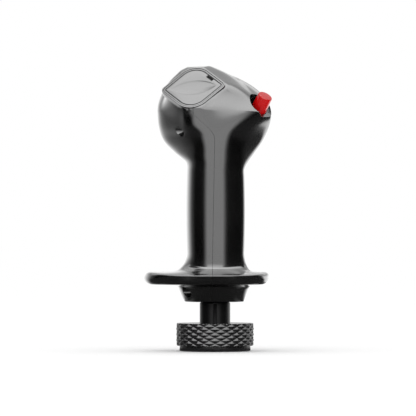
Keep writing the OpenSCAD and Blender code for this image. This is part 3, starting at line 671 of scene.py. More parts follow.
@dataclass(frozen=True)
class GripForm:
    """Outside and inside form of the moulded grip, from the collar to the crown."""

    plate: PlateSeat = PlateSeat()
    button: ButtonSeat = ButtonSeat()
    collar_z: float = 27.9
    collar_x: float = -0.35
    rest_z: float = 37.2
    rest_top: float = 44.6
    rest_left: float = 40.0
    rest_right: float = 31.4
    rest_rear: float = 31.0
    rest_front: float = 30.0
    rest_keel: float = 1.2
    rest_power: float = 2.3
    fillet_z: float = 55.0
    neck_z: float = 102.8
    flare_drop: float = 2.0
    head_z: float = 135.3
    crown_z: float = 159.9
    handle_left: float = 15.7
    handle_right: float = 16.6
    handle_rear: float = 19.4
    handle_front: float = 20.2
    handle_swell: float = 0.5
    head_left: float = 32.7
    head_right: float = 32.1
    head_rear: float = 21.0
    head_front: float = 34.0
    head_mid: float = 9.0
    head_gain: float = 2.2
    wall: float = 2.6
    cave_z: float = 52.3
    # Line where the halves meet
    part_gap: float = 0.1
    part_foot: float = -1.7
    part_neck: float = -0.2
    swing_drop: float = 17.0
    swing_end: float = 0.8
    swing_power: float = 1.25
    # Dome of the crown round its pole: fullness of its sides and of its corners
    pole_x: float = -12.3
    pole_back: float = 11.0
    dome_left: tuple[float, float] = (1.05, 0.25)
    dome_right: tuple[float, float] = (0.72, 0.5)
    dome_front: tuple[float, float] = (0.75, 0.35)
    dome_rear: float = 0.8
    dome_gain: float = 1.6
    back_blend: float = 3.0
    brow_power: float = 2.1
    corner_power: float = 2.7
    corner_gain: float = 2.5
    skew_gain: float = 2.2
    # Lean of the head's rear: where it starts, how it grows and where it fades
    lean_z: float = 124.5
    lean_grow: float = 0.0125
    lean_x: float = -10.0
    lean_width: float = 25.0
    lean_depth: float = 15.0
    lean_fade: float = 12.0
    # Flat round the button's pocket
    face_height: float = 8.0
    face_blend: float = 12.0
    # Fairing from the head up to the foot of the plate's rim
    fair_slope: float = 0.8
    fair_blend: float = 3.4
    tip_slope: float = 1.15
    fair_steep: float = 3.0
    steep_from: float = 1.2
    fair_span: float = 12.0
    fair_reach: float = 15.0
    fair_fade: float = 9.0
    rim_blend: float = 1.5
    rim_power: int = 8

    LEFT_SWELL: Knots = (
        (0, 0), (0.05, 0), (0.125, 0.05), (0.286, 0.414), (0.492, 0.787), (0.738, 0.953), (1, 1),
    )
    RIGHT_SWELL: Knots = (
        (-0.1, 0), (-0.02, 0), (0.077, 0.09), (0.286, 0.394), (0.492, 0.69), (0.738, 0.916), (1, 1),
    )
    REAR_SWELL: Knots = ((0, 0), (0.2, 0.2), (0.45, 0.68), (0.7, 0.95), (1, 1))
    FRONT_SWELL: Knots = ((0, 0), (0.15, 0.08), (0.45, 0.55), (0.75, 0.92), (0.9, 0.992), (1, 1))

    # Where the rear turns to the sides, over the rise of the head: shares of their reach
    LEFT_INNER: Knots = (
        (0, 0.344), (0.15, 0.32), (0.33, 0.24), (0.535, 0.241), (0.71, 0.347), (0.88, 0.395),
        (1, 0.416),
    )
    LEFT_OUTER: Knots = (
        (0, 0.726), (0.15, 0.655), (0.33, 0.475), (0.535, 0.478), (0.71, 0.505), (0.88, 0.531),
        (1, 0.569),
    )
    RIGHT_INNER: Knots = (
        (0, 0.319), (0.15, 0.289), (0.33, 0.253), (0.535, 0.26), (0.71, 0.37), (0.88, 0.554),
        (1, 0.717),
    )
    RIGHT_OUTER: Knots = (
        (0, 0.861), (0.15, 0.753), (0.33, 0.641), (0.535, 0.641), (0.71, 0.731), (0.88, 0.902),
        (1, 0.919),
    )
    # Turn of the face there, in degrees: inner, outer, beside the edge of handle and head
    LEFT_TURN: Sequence[float] = (23.5, 51.0, 76.5, 61.5)
    RIGHT_TURN: Sequence[float] = (20.4, 46.0, 68.0, 55.0)
    EDGE_SHARE: float = 0.85

    # Collar: height and radius
    COLLAR: Knots = (
        (27.9, 16.6), (28.1, 16.95), (28.4, 17.2), (29.3, 17.65), (30.5, 18.2), (32.0, 18.8),
        (33.5, 19.4), (35.0, 20.0), (36.0, 20.45), (36.6, 21.0), (37.0, 21.9), (37.2, 23.3),
    )
    # Edge of the hand rest, from below to above: inset and height at the sides and at the rear
    EDGE_SIDE: Knots = (
        (6.5, 37.5), (2.97, 37.65), (1.8, 38.08), (0.84, 38.89), (0.22, 39.97), (0, 41.2),
        (0.22, 42.43), (0.84, 43.51), (1.8, 44.32), (2.97, 44.75),
    )
    EDGE_REAR: Knots = (
        (6.5, 37.4), (3.0, 37.7), (2.0, 37.95), (1.4, 38.4), (1.0, 39.3), (0.65, 40.4),
        (0.3, 41.6), (0.05, 42.5), (0.12, 42.9), (0.5, 43.1),
    )
    # Top of the hand rest and its sweep: share of the way out from the handle, and height
    TOP_SIDE: Knots = (
        (0.95, 44.8), (0.8, 44.82), (0.6, 44.85), (0.42, 45.0), (0.31, 45.4), (0.225, 46.2),
        (0.14, 47.9), (0.08, 49.6), (0.04, 51.5), (0.012, 53.3), (0, 55),
    )
    TOP_REAR: Knots = (
        (0.95, 43.35), (0.8, 43.85), (0.62, 44.4), (0.45, 44.95), (0.32, 45.4), (0.21, 45.8),
        (0.12, 46.3), (0.06, 47.0), (0.025, 48.2), (0.007, 50.5), (0, 55),
    )
    REAR_POWER: float = 1.2
    # Rows of the hollow: steps below the crown, and in the crown the shares of its rise
    CAVE_STEPS: int = 21
    CAVE_TOP: Sequence[float] = (0.05, 0.12, 0.2, 0.26, 0.32, 0.38, 0.44, 0.5)
    # Rows of the outside: hand rest's edge and top, handle, lower head and crown
    ROWS: Sequence[int] = (40, 36, 21, 47, 63)
    CROWN_END: float = 89.6

    def part_x(self, z: float) -> float:
        """X of the line where the halves meet, at a height."""
        swing0, swing1 = self.head_z - self.swing_drop, self.head_z - self.swing_end
        rise = clamp01((z - self.rest_z) / (swing0 - self.rest_z))
        share = clamp01((z - swing0) / (swing1 - swing0))
        return mix(
            mix(self.part_foot, self.part_neck, rise), self.pole_x, ease(share**self.swing_power)
        )

    def rest_section(self, inset: float) -> Section:
        """Cut through the hand rest, set in from its outline."""
        return Section(
            0.0,
            0.0,
            self.rest_left - inset,
            self.rest_right - inset,
            self.rest_rear - inset,
            self.rest_front - inset,
            self.rest_power,
            self.rest_power,
            self.rest_keel,
        )

    def handle_section(self, z: float, wall: float = 0.0) -> RidgedSection:
        """Cut through the handle and the lower head.

        Args:
            z: height of the cut.
            wall: how much further in than the outside it lies.

        Returns:
            The cut.
        """
        s = (z - self.neck_z) / (self.head_z - self.neck_z)
        span = self.neck_z - self.fillet_z
        w = self.handle_swell * math.sin(math.pi * clamp01((z - self.fillet_z) / span)) - wall
        left, right, rear, front = (
            mix(handle, head, curve(knots, s)) + w
            for handle, head, knots in (
                (self.handle_left, self.head_left, self.LEFT_SWELL),
                (self.handle_right, self.head_right, self.RIGHT_SWELL),
                (self.handle_rear, self.head_rear, self.REAR_SWELL),
                (self.handle_front, self.head_front, self.FRONT_SWELL),
            )
        )
        turns = tuple(
            self.turn(reach, curve(inner, s), curve(outer, s), tilts, ease(s * self.head_gain))
            for reach, inner, outer, tilts in (
                (left, self.LEFT_INNER, self.LEFT_OUTER, self.LEFT_TURN),
                (right, self.RIGHT_INNER, self.RIGHT_OUTER, self.RIGHT_TURN),
            )
        )
        return RidgedSection(-rear, front, (left, right), turns)

    def turn(
        self, reach: float, inner: float, outer: float, tilts: Sequence[float], head: float
    ) -> Knots:
        """How the rear turns to one side.

        Args:
            reach: reach of this side.
            inner: share of the reach where the turn begins.
            outer: share of the reach where it ends.
            tilts: turn in degrees at inner, outer, and beside the edge of handle and head.
            head: 0 in the handle, 1 in the head.

        Returns:
            Pairs of distance from the middle and turn in degrees.
        """
        return (
            (0.0, 0.0),
            (inner * reach, tilts[0]),
            (outer * reach, tilts[1]),
            (mix(outer, 1.0, self.EDGE_SHARE) * reach, mix(tilts[2], tilts[3], head)),
            (reach, 90.0),
        )

    def crown_section(self, z: float) -> Section:
        """Cut through the crown of the head.

        Args:
            z: height of the cut.

        Returns:
            The cut, whose rear follows the plate.
        """
        lift = (z - self.head_z) / (self.crown_z - self.head_z)
        c = math.cos(math.asin(clamp01(lift)))
        normal, centre = self.plate.normal, Vector(self.plate.centre)
        pole_x, pole_y = self.pole_x, centre.y + self.pole_back
        mid_x, mid_y = mix(pole_x, 0.0, c), mix(pole_y, self.head_mid, c)
        off = normal.x * (mid_x - centre.x) + normal.z * (z - centre.z)
        foot_y = centre.y - off / normal.y - self.plate.rim_proud / normal.y
        dome_y = mix(pole_y, -self.head_rear, c**self.dome_rear)
        left, right, front = (
            mix(pole, reach, c ** (base + grow * c))
            for pole, reach, (base, grow) in (
                (pole_x, -self.head_left, self.dome_left),
                (pole_x, self.head_right, self.dome_right),
                (pole_y, self.head_front, self.dome_front),
            )
        )
        return Section(
            mid_x,
            mid_y,
            mid_x - left,
            right - mid_x,
            mid_y - soft_max(dome_y, foot_y, self.back_blend),
            front - mid_y,
            mix(self.brow_power, self.corner_power, ease(lift * self.corner_gain)),
            self.corner_power,
            skew=normal.x / -normal.y * ease(lift * self.skew_gain),
        )

    def crown_level(self, z: float, wall: float = 0.0) -> Level:
        """Row of the crown: the turn of the head below, easing into a dome.

        Args:
            z: height of the row.
            wall: how much further in than the outside it lies.

        Returns:
            The row.
        """
        dome = self.crown_section(z)
        if wall > 0:
            dome = dome.shrunk(wall)
        share = ease((z - self.head_z) / (self.crown_z - self.head_z) * self.dome_gain)
        below = self.handle_section(self.head_z, wall)
        long = (dome.rear + dome.front) / (below.front_y - below.rear_y)

        def place(angle: float, part: float) -> Vector:
            """Point of this row."""
            x, y = dome.plan(angle, part)
            ox, oy = below.plan(angle, part)
            reach = (dome.right / below.reaches[1]) if ox >= 0 else (dome.left / below.reaches[0])
            rx = dome.mid_x + ox * reach
            ry = dome.mid_y - dome.rear + (oy - below.rear_y) * long
            ry += dome.skew * min(0.0, rx - dome.mid_x)
            point = Vector((mix(rx, x, share), mix(ry, y, share), z))
            return point if wall > 0 else self.shaped(point)

        return Level(z, place)

    def shaped(self, point: Vector) -> Vector:
        """Lean a point of the head, then draw it down to the button's flat and up to the rim."""
        return self.fair(self.face_button(self.lean(point)))

    def lean(self, point: Vector) -> Vector:
        """Let the rear of the head lean back towards the crown, more so on the button's side."""
        up, top = max(0.0, point.z - self.lean_z), self.head_z - self.lean_z
        depth = self.lean_grow * (up**2 if up < top else top * (2 * up - top))
        depth *= ease((point.x - self.lean_x) / self.lean_width) * ease(-point.y / self.lean_depth)
        fade = 1.0 - ease((point.z - self.head_z) / self.lean_fade)
        return point + Vector((0.0, depth * fade, 0.0))

    def face_button(self, point: Vector, inset: float = 0.0) -> Vector:
        """Draw a point of the head down to the flat that the button's pocket is sunk into."""
        normal = self.button.matrix.to_3x3() @ Vector(Z_AXIS)
        height = (point - Vector(self.button.centre)).dot(normal) - self.face_height
        return point - normal * soft_max(height + inset, 0.0, self.face_blend)

    def fair(self, point: Vector) -> Vector:
        """Draw a point of the head up to the foot of the rim, without moving it sideways.

        Args:
            point: the point.

        Returns:
            The point in its new place.
        """
        seat, normal = self.plate, self.plate.normal
        lift = Vector((0.0, normal.y, normal.z)).normalized()
        q = point - Vector(seat.centre)
        h = q.dot(normal)
        u, v, across = (q.dot(seat.direction(seat.roll + turn)) for turn in (45, -45, 90))
        end = seat.rim_side / math.sqrt(2) - seat.rim_r_end * (math.sqrt(2) - 1)
        square = (abs(u) ** self.rim_power + abs(v) ** self.rim_power) ** (1 / self.rim_power)
        d = max(square - seat.rim_side / 2, abs(across) - end)
        below = mix(self.tip_slope, self.fair_steep, ease(self.steep_from - v / self.fair_span))
        slope = mix(self.fair_slope, below, ease(0.5 - u / self.fair_span))
        foot = -seat.rim_proud - slope * max(0.0, d)
        weight = ease((h + self.fair_reach) / self.fair_fade)
        rise = soft_max(-soft_max(-h, seat.rim_proud, self.rim_blend), foot, self.fair_blend) - h
        return point + lift * (weight * rise / lift.dot(normal))

    def plain_level(
        self, z: float, section: Section | RidgedSection, headed: bool = False
    ) -> Level:
        """Row at one height, shaped like the head where asked."""

        def place(angle: float, part: float) -> Vector:
            """Point of this row."""
            point = Vector((*section.plan(angle, part), z))
            return self.shaped(point) if headed else point

        return Level(z, place)

    @staticmethod
    def read(table: Knots, s: float) -> tuple[float, ...]:
        """Both values of a table, at share s of the way down it."""
        place = s * (len(table) - 1)
        return tuple(curve(list(enumerate(column)), place) for column in zip(*table))

    def rest_edge_level(self, s: float) -> Level:
        """Row on the edge of the hand rest, at share s of the way from below to above."""
        side_in, side_z = self.read(self.EDGE_SIDE, s)
        rear_in, rear_z = self.read(self.EDGE_REAR, s)
        side, rear = self.rest_section(side_in), self.rest_section(rear_in)

        def place(angle: float, part: float) -> Vector:
            """Point of this row."""
            w = self.rear_share(angle)
            a, b = side.plan(angle, part), rear.plan(angle, part)
            return Vector((mix(a[0], b[0], w), mix(a[1], b[1], w), mix(side_z, rear_z, w)))

        return Level(mix(self.rest_z, self.rest_top, s), place)

    def rest_top_level(self, s: float) -> Level:
        """Row on the top of the hand rest and up its sweep, at share s of the way inwards."""
        side_out, side_z = self.read(self.TOP_SIDE, s)
        rear_out, rear_z = self.read(self.TOP_REAR, s)
        inner = self.handle_section(self.fillet_z)
        side = self.rest_section(self.EDGE_SIDE[-1][0])
        rear = self.rest_section(self.EDGE_REAR[-1][0])

        def place(angle: float, part: float) -> Vector:
            """Point of this row."""
            w = self.rear_share(angle)
            a, b, c = (cut.plan(angle, part) for cut in (side, rear, inner))
            t = mix(side_out, rear_out, w)
            x, y = (mix(c[i], mix(a[i], b[i], w), t) for i in (0, 1))
            return Vector((x, y, mix(side_z, rear_z, w)))

        return Level(mix(self.rest_top, self.fillet_z, s), place)

    def rear_share(self, angle: float) -> float:
        """How far an angle looks to the rear or the front, rather than to a side."""
        return ease(abs(math.cos(angle)) ** self.REAR_POWER)

    def outer_levels(self) -> list[Level]:
        """All rows of the outside, from the collar to the crown."""
        edge, top, handle, head, crown = self.ROWS
        flare_z, rise = self.neck_z - self.flare_drop, self.crown_z - self.head_z
        rows = [
            self.plain_level(z, Section(self.collar_x, 0.0, r, r, r, r)) for z, r in self.COLLAR
        ]
        rows += [self.rest_edge_level(i / edge) for i in range(edge + 1)]
        rows += [self.rest_top_level(i / top) for i in range(top + 1)]
        heights = [mix(self.fillet_z, flare_z, i / handle) for i in range(1, handle + 1)]
        heights += [mix(flare_z, self.head_z, i / head) for i in range(1, head)]
        rows += [self.plain_level(z, self.handle_section(z), True) for z in heights]
        for i in range(crown + 1):
            turn = math.radians(i * self.CROWN_END / crown)
            rows.append(self.crown_level(self.head_z + rise * math.sin(turn)))
        return rows

    def inner_levels(self) -> list[Level]:
        """All rows of the hollow inside, a wall's thickness in and under the button's flat."""
        last = self.CAVE_STEPS
        low = (mix(self.cave_z, self.head_z - 1.0, i / last) for i in range(last + 1))
        rows = [self.hollow(self.plain_level(z, self.handle_section(z, self.wall))) for z in low]
        for share in self.CAVE_TOP:
            z = mix(self.head_z, self.crown_z, share) + self.wall
            rows.append(self.hollow(self.crown_level(z, self.wall), self.wall))
        return rows

    def hollow(self, level: Level, drop: float = 0.0) -> Level:
        """The same row, lower by a drop and drawn under the button's flat."""

        def place(angle: float, part: float) -> Vector:
            """Point of this row."""
            point = level.place(angle, part) - Vector((0.0, 0.0, drop))
            return self.face_button(point, self.wall)

        return Level(level.z - drop, place)

    def half(self, levels: Sequence[Level], side: Side, columns: int, shift: float) -> BMesh:
        """Closed loft of one half.

        Args:
            levels: rows of the loft, from below.
            side: which half.
            columns: steps round the half.
            shift: distance of the flat face from the parting line, positive to the right.

        Returns:
            The closed solid.
        """
        bm = bmesh.new()
        rows = len(levels) - 1
        bmesh.ops.create_grid(bm, x_segments=columns, y_segments=rows, size=1.0)
        starts = []
        for level in levels:
            part = self.part_x(level.z) + shift
            starts.append((level, part, level.rear_angle(part)))
        rear, front = set(), set()
        for vert in bm.verts:
            column = round((vert.co.x + 1) * columns / 2)
            level, part, first = starts[round((vert.co.y + 1) * rows / 2)]
            vert.co = level.place(mix(first, side.value * math.pi - first, column / columns), part)
            if column == 0:
                rear.add(vert)
            elif column == columns:
                front.add(vert)
        chains = [
            edge
            for edge in bm.edges
            if edge.is_boundary and (set(edge.verts) <= rear or set(edge.verts) <= front)
        ]
        bmesh.ops.bridge_loops(bm, edges=chains)
        rims = [edge for edge in bm.edges if edge.is_boundary]
        bmesh.ops.holes_fill(bm, edges=rims, sides=0)
        bmesh.ops.recalc_face_normals(bm, faces=bm.faces[:])
        return bm


@dataclass(frozen=True)
class ScrewSite:
    """Place of one shell screw: forward place, height and whether a rib holds its boss."""

    y: float
    z: float
    ribbed: bool = False


@dataclass
class GripShells:
    """The two moulded halves with everything that is cut into them."""

    form: GripForm = field(default_factory=GripForm)
    button: ButtonSeat = field(default_factory=ButtonSeat)
    screws: Sequence[ScrewSite] = (
        ScrewSite(-8.0, 123.7, True),
        ScrewSite(21.0, 136.3),
        ScrewSite(0.0, 75.1),
        ScrewSite(-11.2, 33.4),
        ScrewSite(11.2, 33.4),
    )
    boss_count: int = 3  # the other screws sit in the solid collar
    screw_seat: float = 6.0
    counterbore_r: float = 2.95
    screw_r: float = 1.7
    screw_end: float = 3.0
    insert_r: float = 2.25
    insert_len: float = 5.0
    insert_fit: float = 0.05
    insert_r_out: float = 2.2
    insert_sink: float = 0.7
    boss_r: float = 4.0
    boss_lap: float = 2.0
    boss_end: float = 4.0
    rib_len: float = 30.0
    hinge_y: float = 23.0
    hinge_z: float = 129.8
    hinge_boss_r: float = 3.6
    trigger_w: float = 12.0
    trigger_play: float = 0.3
    slot_rise: float = 1.2
    slot_reach: float = 20.0
    rim_edge: float = 0.3
    pin_r: float = 1.52
    pin_out: float = 6.1
    spigot_r: float = 7.55
    hex_z: float = 46.6
    hex_h: float = 3.5
    hex_r: float = 11.6
    hex_fit: float = 0.05
    stem_bore_r: float = 5.3
    clip_x: float = 7.9
    clip_far: float = 40.0
    clip_ys: Sequence[float] = (6.45, 9.65)
    clip_zs: Sequence[float] = (59.3, 90.3)
    clip_thick: float = 1.5
    clip_len: float = 6.0
    well_ledge: float = 2.4
    well_inset: float = 1.5
    well_top: float = 5.0
    board_room: float = 2.0
    hat_play: float = 0.6
    hat_depth: float = 16.6
    pocket_reach: float = 30.0
    over: float = 6.0
    lap: float = 0.1
    columns: int = 96
    cave_columns: int = 40

    def hollow(self, side: Side) -> bpy.types.Object:
        """Hollow of one half, less the bosses, clips and guides that stand in it.

        Args:
            side: which half.

        Returns:
            An object that is cut out of the half.
        """
        form, seat, button = self.form, self.form.plate, self.button
        right = side is Side.RIGHT
        kept: list[BMesh] = []
        for site in self.screws[: self.boss_count]:
            x = form.part_x(site.z)
            last = self.insert_x(site) + self.insert_len + self.boss_end if site.ribbed else CLEAR
            ends = (x - self.boss_lap, last) if right else (-CLEAR, x + self.boss_lap)
            kept.append(Bench.rod_x(self.boss_r, *ends, site.y, site.z))
            if right and site.ribbed:
                half = self.boss_r / 2
                low = (x - self.boss_lap, site.y - self.rib_len, site.z - half)
                kept.append(Bench.block(low, (last, site.y, site.z + half)))
        well = seat.slab(self.well_inset, seat.well_z - form.wall, self.well_top)
        kept.append(seat.settle(well))
        ends = (self.trigger_w / 2, CLEAR) if right else (-CLEAR, -self.trigger_w / 2)
        kept.append(Bench.rod_x(self.hinge_boss_r, *ends, self.hinge_y, self.hinge_z))
        near, far = (self.clip_x, self.clip_far) if right else (-self.clip_far, -self.clip_x)
        for z in self.clip_zs:
            for y in self.clip_ys:
                high = (far, y + self.clip_thick, z + self.clip_len)
                kept.append(Bench.block((near, y, z), high))
        if right:
            cup_r = button.pocket_d / 2 + button.pocket_wall
            kept.append(button.settle(Bench.rod(button.guide_r, button.guide_z, button.pocket_d)))
            kept.append(button.settle(Bench.rod(cup_r, -button.floor_thick, button.pocket_d)))
        rows = form.inner_levels()
        cave = Bench.to_object(form.half(rows, side, self.cave_columns, -side.value), "hollow")
        for solid in kept:
            Bench.work(cave, solid, Join.TAKE)
        return cave

    def insert_x(self, site: ScrewSite) -> float:
        """Where the brass insert of a screw starts in the right half."""
        return self.form.part_x(site.z - self.insert_r_out) + self.insert_sink

    def tools(self, side: Side) -> list[BMesh]:
        """Solids that are cut out of one half from outside.

        Args:
            side: which half.

        Returns:
            The tool solids.
        """
        form, seat, button = self.form, self.form.plate, self.button
        well_side = seat.rim_side - 2 * (seat.plate_inset + self.well_ledge)
        hat_side, hat_z = seat.hat_side + self.hat_play, seat.well_z - self.hat_depth
        cuts = [
            seat.settle(seat.slab(seat.lip, seat.seat_z, self.over)),
            seat.settle(seat.square(well_side, seat.well_z, seat.seat_z + self.lap)),
            seat.settle(seat.square(hat_side, hat_z, seat.well_z + self.lap)),
        ]
        for site in self.screws:
            x = form.part_x(site.z)
            if side is Side.LEFT:
                seat_x = x - self.screw_seat
                wide = (self.counterbore_r, -CLEAR, seat_x)
                slim = (self.screw_r, seat_x - 1.0, x + self.over)
            else:
                end = self.insert_x(site) + self.insert_len
                wide = (self.insert_r, x - self.over, end + self.insert_fit)
                slim = (self.screw_r, x - self.over, end + self.screw_end)
            cuts += [Bench.rod_x(*rod, site.y, site.z) for rod in (wide, slim)]
        pin_end = self.trigger_w / 2 + self.pin_out
        cuts += [
            Bench.rod(self.spigot_r, form.collar_z - 1.0, self.hex_z + 1.0, 96),
            self.hexagon(),
            Bench.rod(self.stem_bore_r, self.hex_z, form.cave_z + 1.0),
            self.trigger_slot(),
            Bench.rod_x(self.pin_r, -pin_end, pin_end, self.hinge_y, self.hinge_z),
        ]
        if side is Side.RIGHT:
            floor_z = -button.floor_thick
            board_z = button.guide_z - button.board_thick - self.board_room
            rods = (
                (button.pocket_d / 2, 0.0, self.pocket_reach, 128),
                (button.base_r + button.play, floor_z - 1.0, 1.0, 96),
                (button.chamber_r, button.guide_z - self.lap, floor_z, 96),
                (button.board_r + button.play, board_z, button.guide_z, 96),
            )
            cuts += [button.settle(Bench.rod(*rod)) for rod in rods]
        return cuts

    def hexagon(self) -> BMesh:
        """Socket for the hexagon of the stem."""
        bm = bmesh.new()
        bmesh.ops.create_circle(bm, cap_ends=True, segments=6, radius=self.hex_r)
        Bench.turn_z(bm, 30)
        Bench.prism(bm, self.hex_z - self.hex_fit, self.hex_z + self.hex_h + self.hex_fit)
        return bm

    def trigger_slot(self) -> BMesh:
        """Slot that the trigger swings in."""
        half = self.trigger_w / 2 + self.trigger_play
        low, front = self.form.neck_z + self.slot_rise, self.form.head_front + self.slot_reach
        corners = (
            (self.form.handle_front - 6.0, low),
            (front, low),
            (front, self.hinge_z - 1.0),
            (self.hinge_y + 8.0, self.hinge_z + 6.0),
            (self.hinge_y - 7.0, self.hinge_z + 6.0),
            (self.hinge_y - 9.0, self.hinge_z - 8.0),
        )
        bm = bmesh.new()
        bm.faces.new([bm.verts.new((-half, y, z)) for y, z in corners])
        Bench.push(bm, (2 * half, 0.0, 0.0))
        return bm

    def rim(self, side: Side) -> BMesh:
        """Part of the raised rim that belongs to one half.

        Args:
            side: which half.

        Returns:
            The closed solid.
        """
        seat = self.form.plate
        bm = seat.settle(seat.slab(0.0, -seat.rim_depth, 0.0, self.rim_edge))
        plane = self.form.part_x(self.form.head_z) + side.value * self.form.part_gap / 2
        bmesh.ops.bisect_plane(
            bm,
            geom=bm.verts[:] + bm.edges[:] + bm.faces[:],
            dist=1e-5,
            plane_co=(plane, 0.0, 0.0),
            plane_no=(1.0, 0.0, 0.0),
            clear_inner=side is Side.RIGHT,
            clear_outer=side is Side.LEFT,
        )
        Bench.close(bm)
        return bm

    def build(self, side: Side, material: bpy.types.Material) -> bpy.types.Object:
        """Make one finished half.

        Args:
            side: which half.
            material: its finish.

        Returns:
            The piece.
        """
        node = f"{side.name.lower()}_shell"
        form = self.form
        skin = form.half(
            form.outer_levels(), side, self.columns, side.value * form.part_gap / 2
        )
        shell = Bench.to_object(skin, f"moulded_{node}")
        Bench.work(shell, self.rim(side), Join.ADD)
        cave = self.hollow(side)
        inside = bmesh.new()
        inside.from_mesh(cave.data)
        bpy.data.objects.remove(cave)
        Bench.work(shell, inside, Join.TAKE)
        for tool in self.tools(side):
            Bench.work(shell, tool, Join.TAKE)
        return Bench.finish(shell, "grip", "shell", material, [node], sharp=32.0)


@dataclass
class ThumbPlate:
    """Loose thumb plate with its dish and notch, and the thin frame round it."""

    seat: PlateSeat = field(default_factory=PlateSeat)
    dish_len: float = 26.6
    dish_w: float = 10.9
    dish_depth: float = 1.0
    dish_tilt: float = 4.5
    dish_drop: float = 0.08
    dish_top: float = 2.0
    dish_steps: int = 48
    notch_len: float = 5.0
    notch_w: float = 1.9
    notch_side: float = -2.4
    notch_floor: float = -1.5
    notch_mouth: float = 1.0
    notch_top: float = 1.7
    magnet_r: float = 1.55
    magnet_in: float = 3.2
    top_z: float = -0.1
    fit: float = 0.05
    side_play: float = 0.1
    plate_edge: float = 0.2
    frame_edge: float = 0.15
    frame_ledge: float = 2.8

    def recess(self, piece: bpy.types.Object, low: float, high: float) -> None:
        """Cut the round recesses for the two magnets.

        Args:
            piece: the plate or its frame.
            low: lower level, from the frame's ledge.
            high: upper level, from there.
        """
        seat = self.seat
        x = seat.rim_side / math.sqrt(2) - seat.plate_inset * math.sqrt(2) - self.magnet_in
        for sign in (-1, 1):
            tool = Bench.rod(self.magnet_r, seat.frame_z + low, seat.frame_z + high, 32)
            bmesh.ops.translate(tool, vec=(sign * x, 0, 0), verts=tool.verts[:])
            Bench.work(piece, tool, Join.TAKE)

    def dish(self) -> BMesh:
        """Lens shaped hollow, turned from one arc, deeper on its lower side.

        Returns:
            The tool solid, in the plate's frame.
        """
        half, width = self.dish_len / 2, self.dish_w / 2
        radius = (half * half + width * width) / (2 * width)
        arc = []
        for i in range(self.dish_steps + 1):
            x = -half + self.dish_len * i / self.dish_steps
            arc.append((x, max(0.0, math.sqrt(radius * radius - x * x) - (radius - width)), 0.0))
        bm = Bench.spun(arc, X_AXIS, math.tau, 96)
        Bench.close(bm)
        bmesh.ops.scale(bm, vec=(1.0, 1.0, self.dish_depth / width), verts=bm.verts[:])
        slope = math.tan(math.radians(self.dish_tilt))
        for vert in bm.verts:
            if vert.co.z > 1e-5:
                vert.co.z = self.dish_top + vert.co.z
            else:
                vert.co.z = vert.co.z + slope * vert.co.y - self.dish_drop
        return bm

    def notch(self) -> BMesh:
        """Pry notch at the plate's edge, whose floor slants up outwards.

        Returns:
            The tool solid, in the plate's frame.
        """
        edge, half = self.seat.rim_side / 2 - self.seat.plate_inset, self.notch_len / 2
        bm = Bench.block(
            (edge - self.notch_w, self.notch_side - half, self.notch_floor),
            (edge + 2.0, self.notch_side + half, self.notch_top),
        )
        for vert in bm.verts:
            if vert.co.z < 0 and vert.co.x > edge:
                vert.co.z = self.notch_mouth
        Bench.turn_z(bm, 45)
        return bm

    def build_plate(self, material: bpy.types.Material) -> bpy.types.Object:
        """Make the plate.

        Args:
            material: its finish.

        Returns:
            The piece.
        """
        seat = self.seat
        inset = seat.plate_inset + self.side_play
        slab = seat.slab(inset, seat.frame_z + self.fit, self.top_z, self.plate_edge)
        plate = Bench.to_object(slab, "thumb_rest_plate")
        Bench.work(plate, self.dish(), Join.TAKE)
        Bench.work(plate, self.notch(), Join.TAKE)
        self.recess(plate, -1.0, 0.75)
        plate.data.transform(seat.matrix)
        return Bench.finish(plate, "plate", "plate", material, ["thumb_plate"], sharp=34.0)

    def build_frame(self, material: bpy.types.Material) -> bpy.types.Object:
        """Make the frame round the plate.

        Args:
            material: its finish.

        Returns:
            The piece.
        """
        seat = self.seat
        outer = seat.lip + seat.frame_gap
        slab = seat.slab(outer, seat.seat_z + self.fit, self.top_z, self.frame_edge)
        ring = Bench.to_object(slab, "thumb_plate_frame")
        Bench.work(ring, seat.slab(outer + seat.frame_lip, seat.frame_z, 1.0), Join.TAKE)
        well_side = seat.rim_side - 2 * (seat.plate_inset + self.frame_ledge)
        Bench.work(ring, seat.square(well_side, seat.seat_z - 1.0, 1.0), Join.TAKE)
        self.recess(ring, -1.15, 1.0)
        ring.data.transform(seat.matrix)
        return Bench.finish(ring, "grip", "plate", material, ["hat_frame"], sharp=34.0)


@dataclass
class TakeoverButton:
    """Red button: a tapered cap with a rounded edge, its flange and its plunger."""

    seat: ButtonSeat = field(default_factory=ButtonSeat)
    edge: float = 0.7
    plunger_r: float = 1.5
    chamfer: float = 0.2
    gap: float = 0.05
    taper: float = 0.02
    dome: float = 0.12
    switch_gap: float = 0.7

    def build(self, material: bpy.types.Material) -> bpy.types.Object:
        """Make the button.

        Args:
            material: its finish.

        Returns:
            The piece.
        """
        seat, edge, cut = self.seat, self.edge, self.chamfer
        top, floor = seat.button_h, -seat.floor_thick
        plunger_z = seat.guide_z + seat.switch_h + self.switch_gap + seat.travel
        flange_z, flange_r = floor - seat.flange_thick, seat.chamber_r - seat.play
        foot_r = seat.base_r - self.taper
        profile = [
            (0.0, plunger_z),
            (self.plunger_r - cut, plunger_z),
            (self.plunger_r, plunger_z + cut),
            (self.plunger_r, flange_z),
            (flange_r - cut, flange_z),
            (flange_r, flange_z + cut),
            (flange_r, floor - self.gap - cut),
            (flange_r - cut, floor - self.gap),
            (seat.base_r, floor - self.gap),
            (foot_r, 0.0),
        ]
        side_r = mix(foot_r, seat.button_d / 2, (top - edge) / top)
        for i in range(9):
            a = math.radians(90 * i / 8)
            profile.append((side_r - edge * (1 - math.cos(a)), top - edge * (1 - math.sin(a))))
        crown = side_r - edge
        for i in range(1, 7):
            r = crown * (1 - i / 6)
            profile.append((r, top + self.dome * (1 - (r / crown) ** 2)))
        piece = Bench.to_object(seat.settle(Bench.turned(profile)), "takeover_push_button")
        return Bench.finish(piece, "button", "red", material, ["takeover_button"], sharp=40.0)


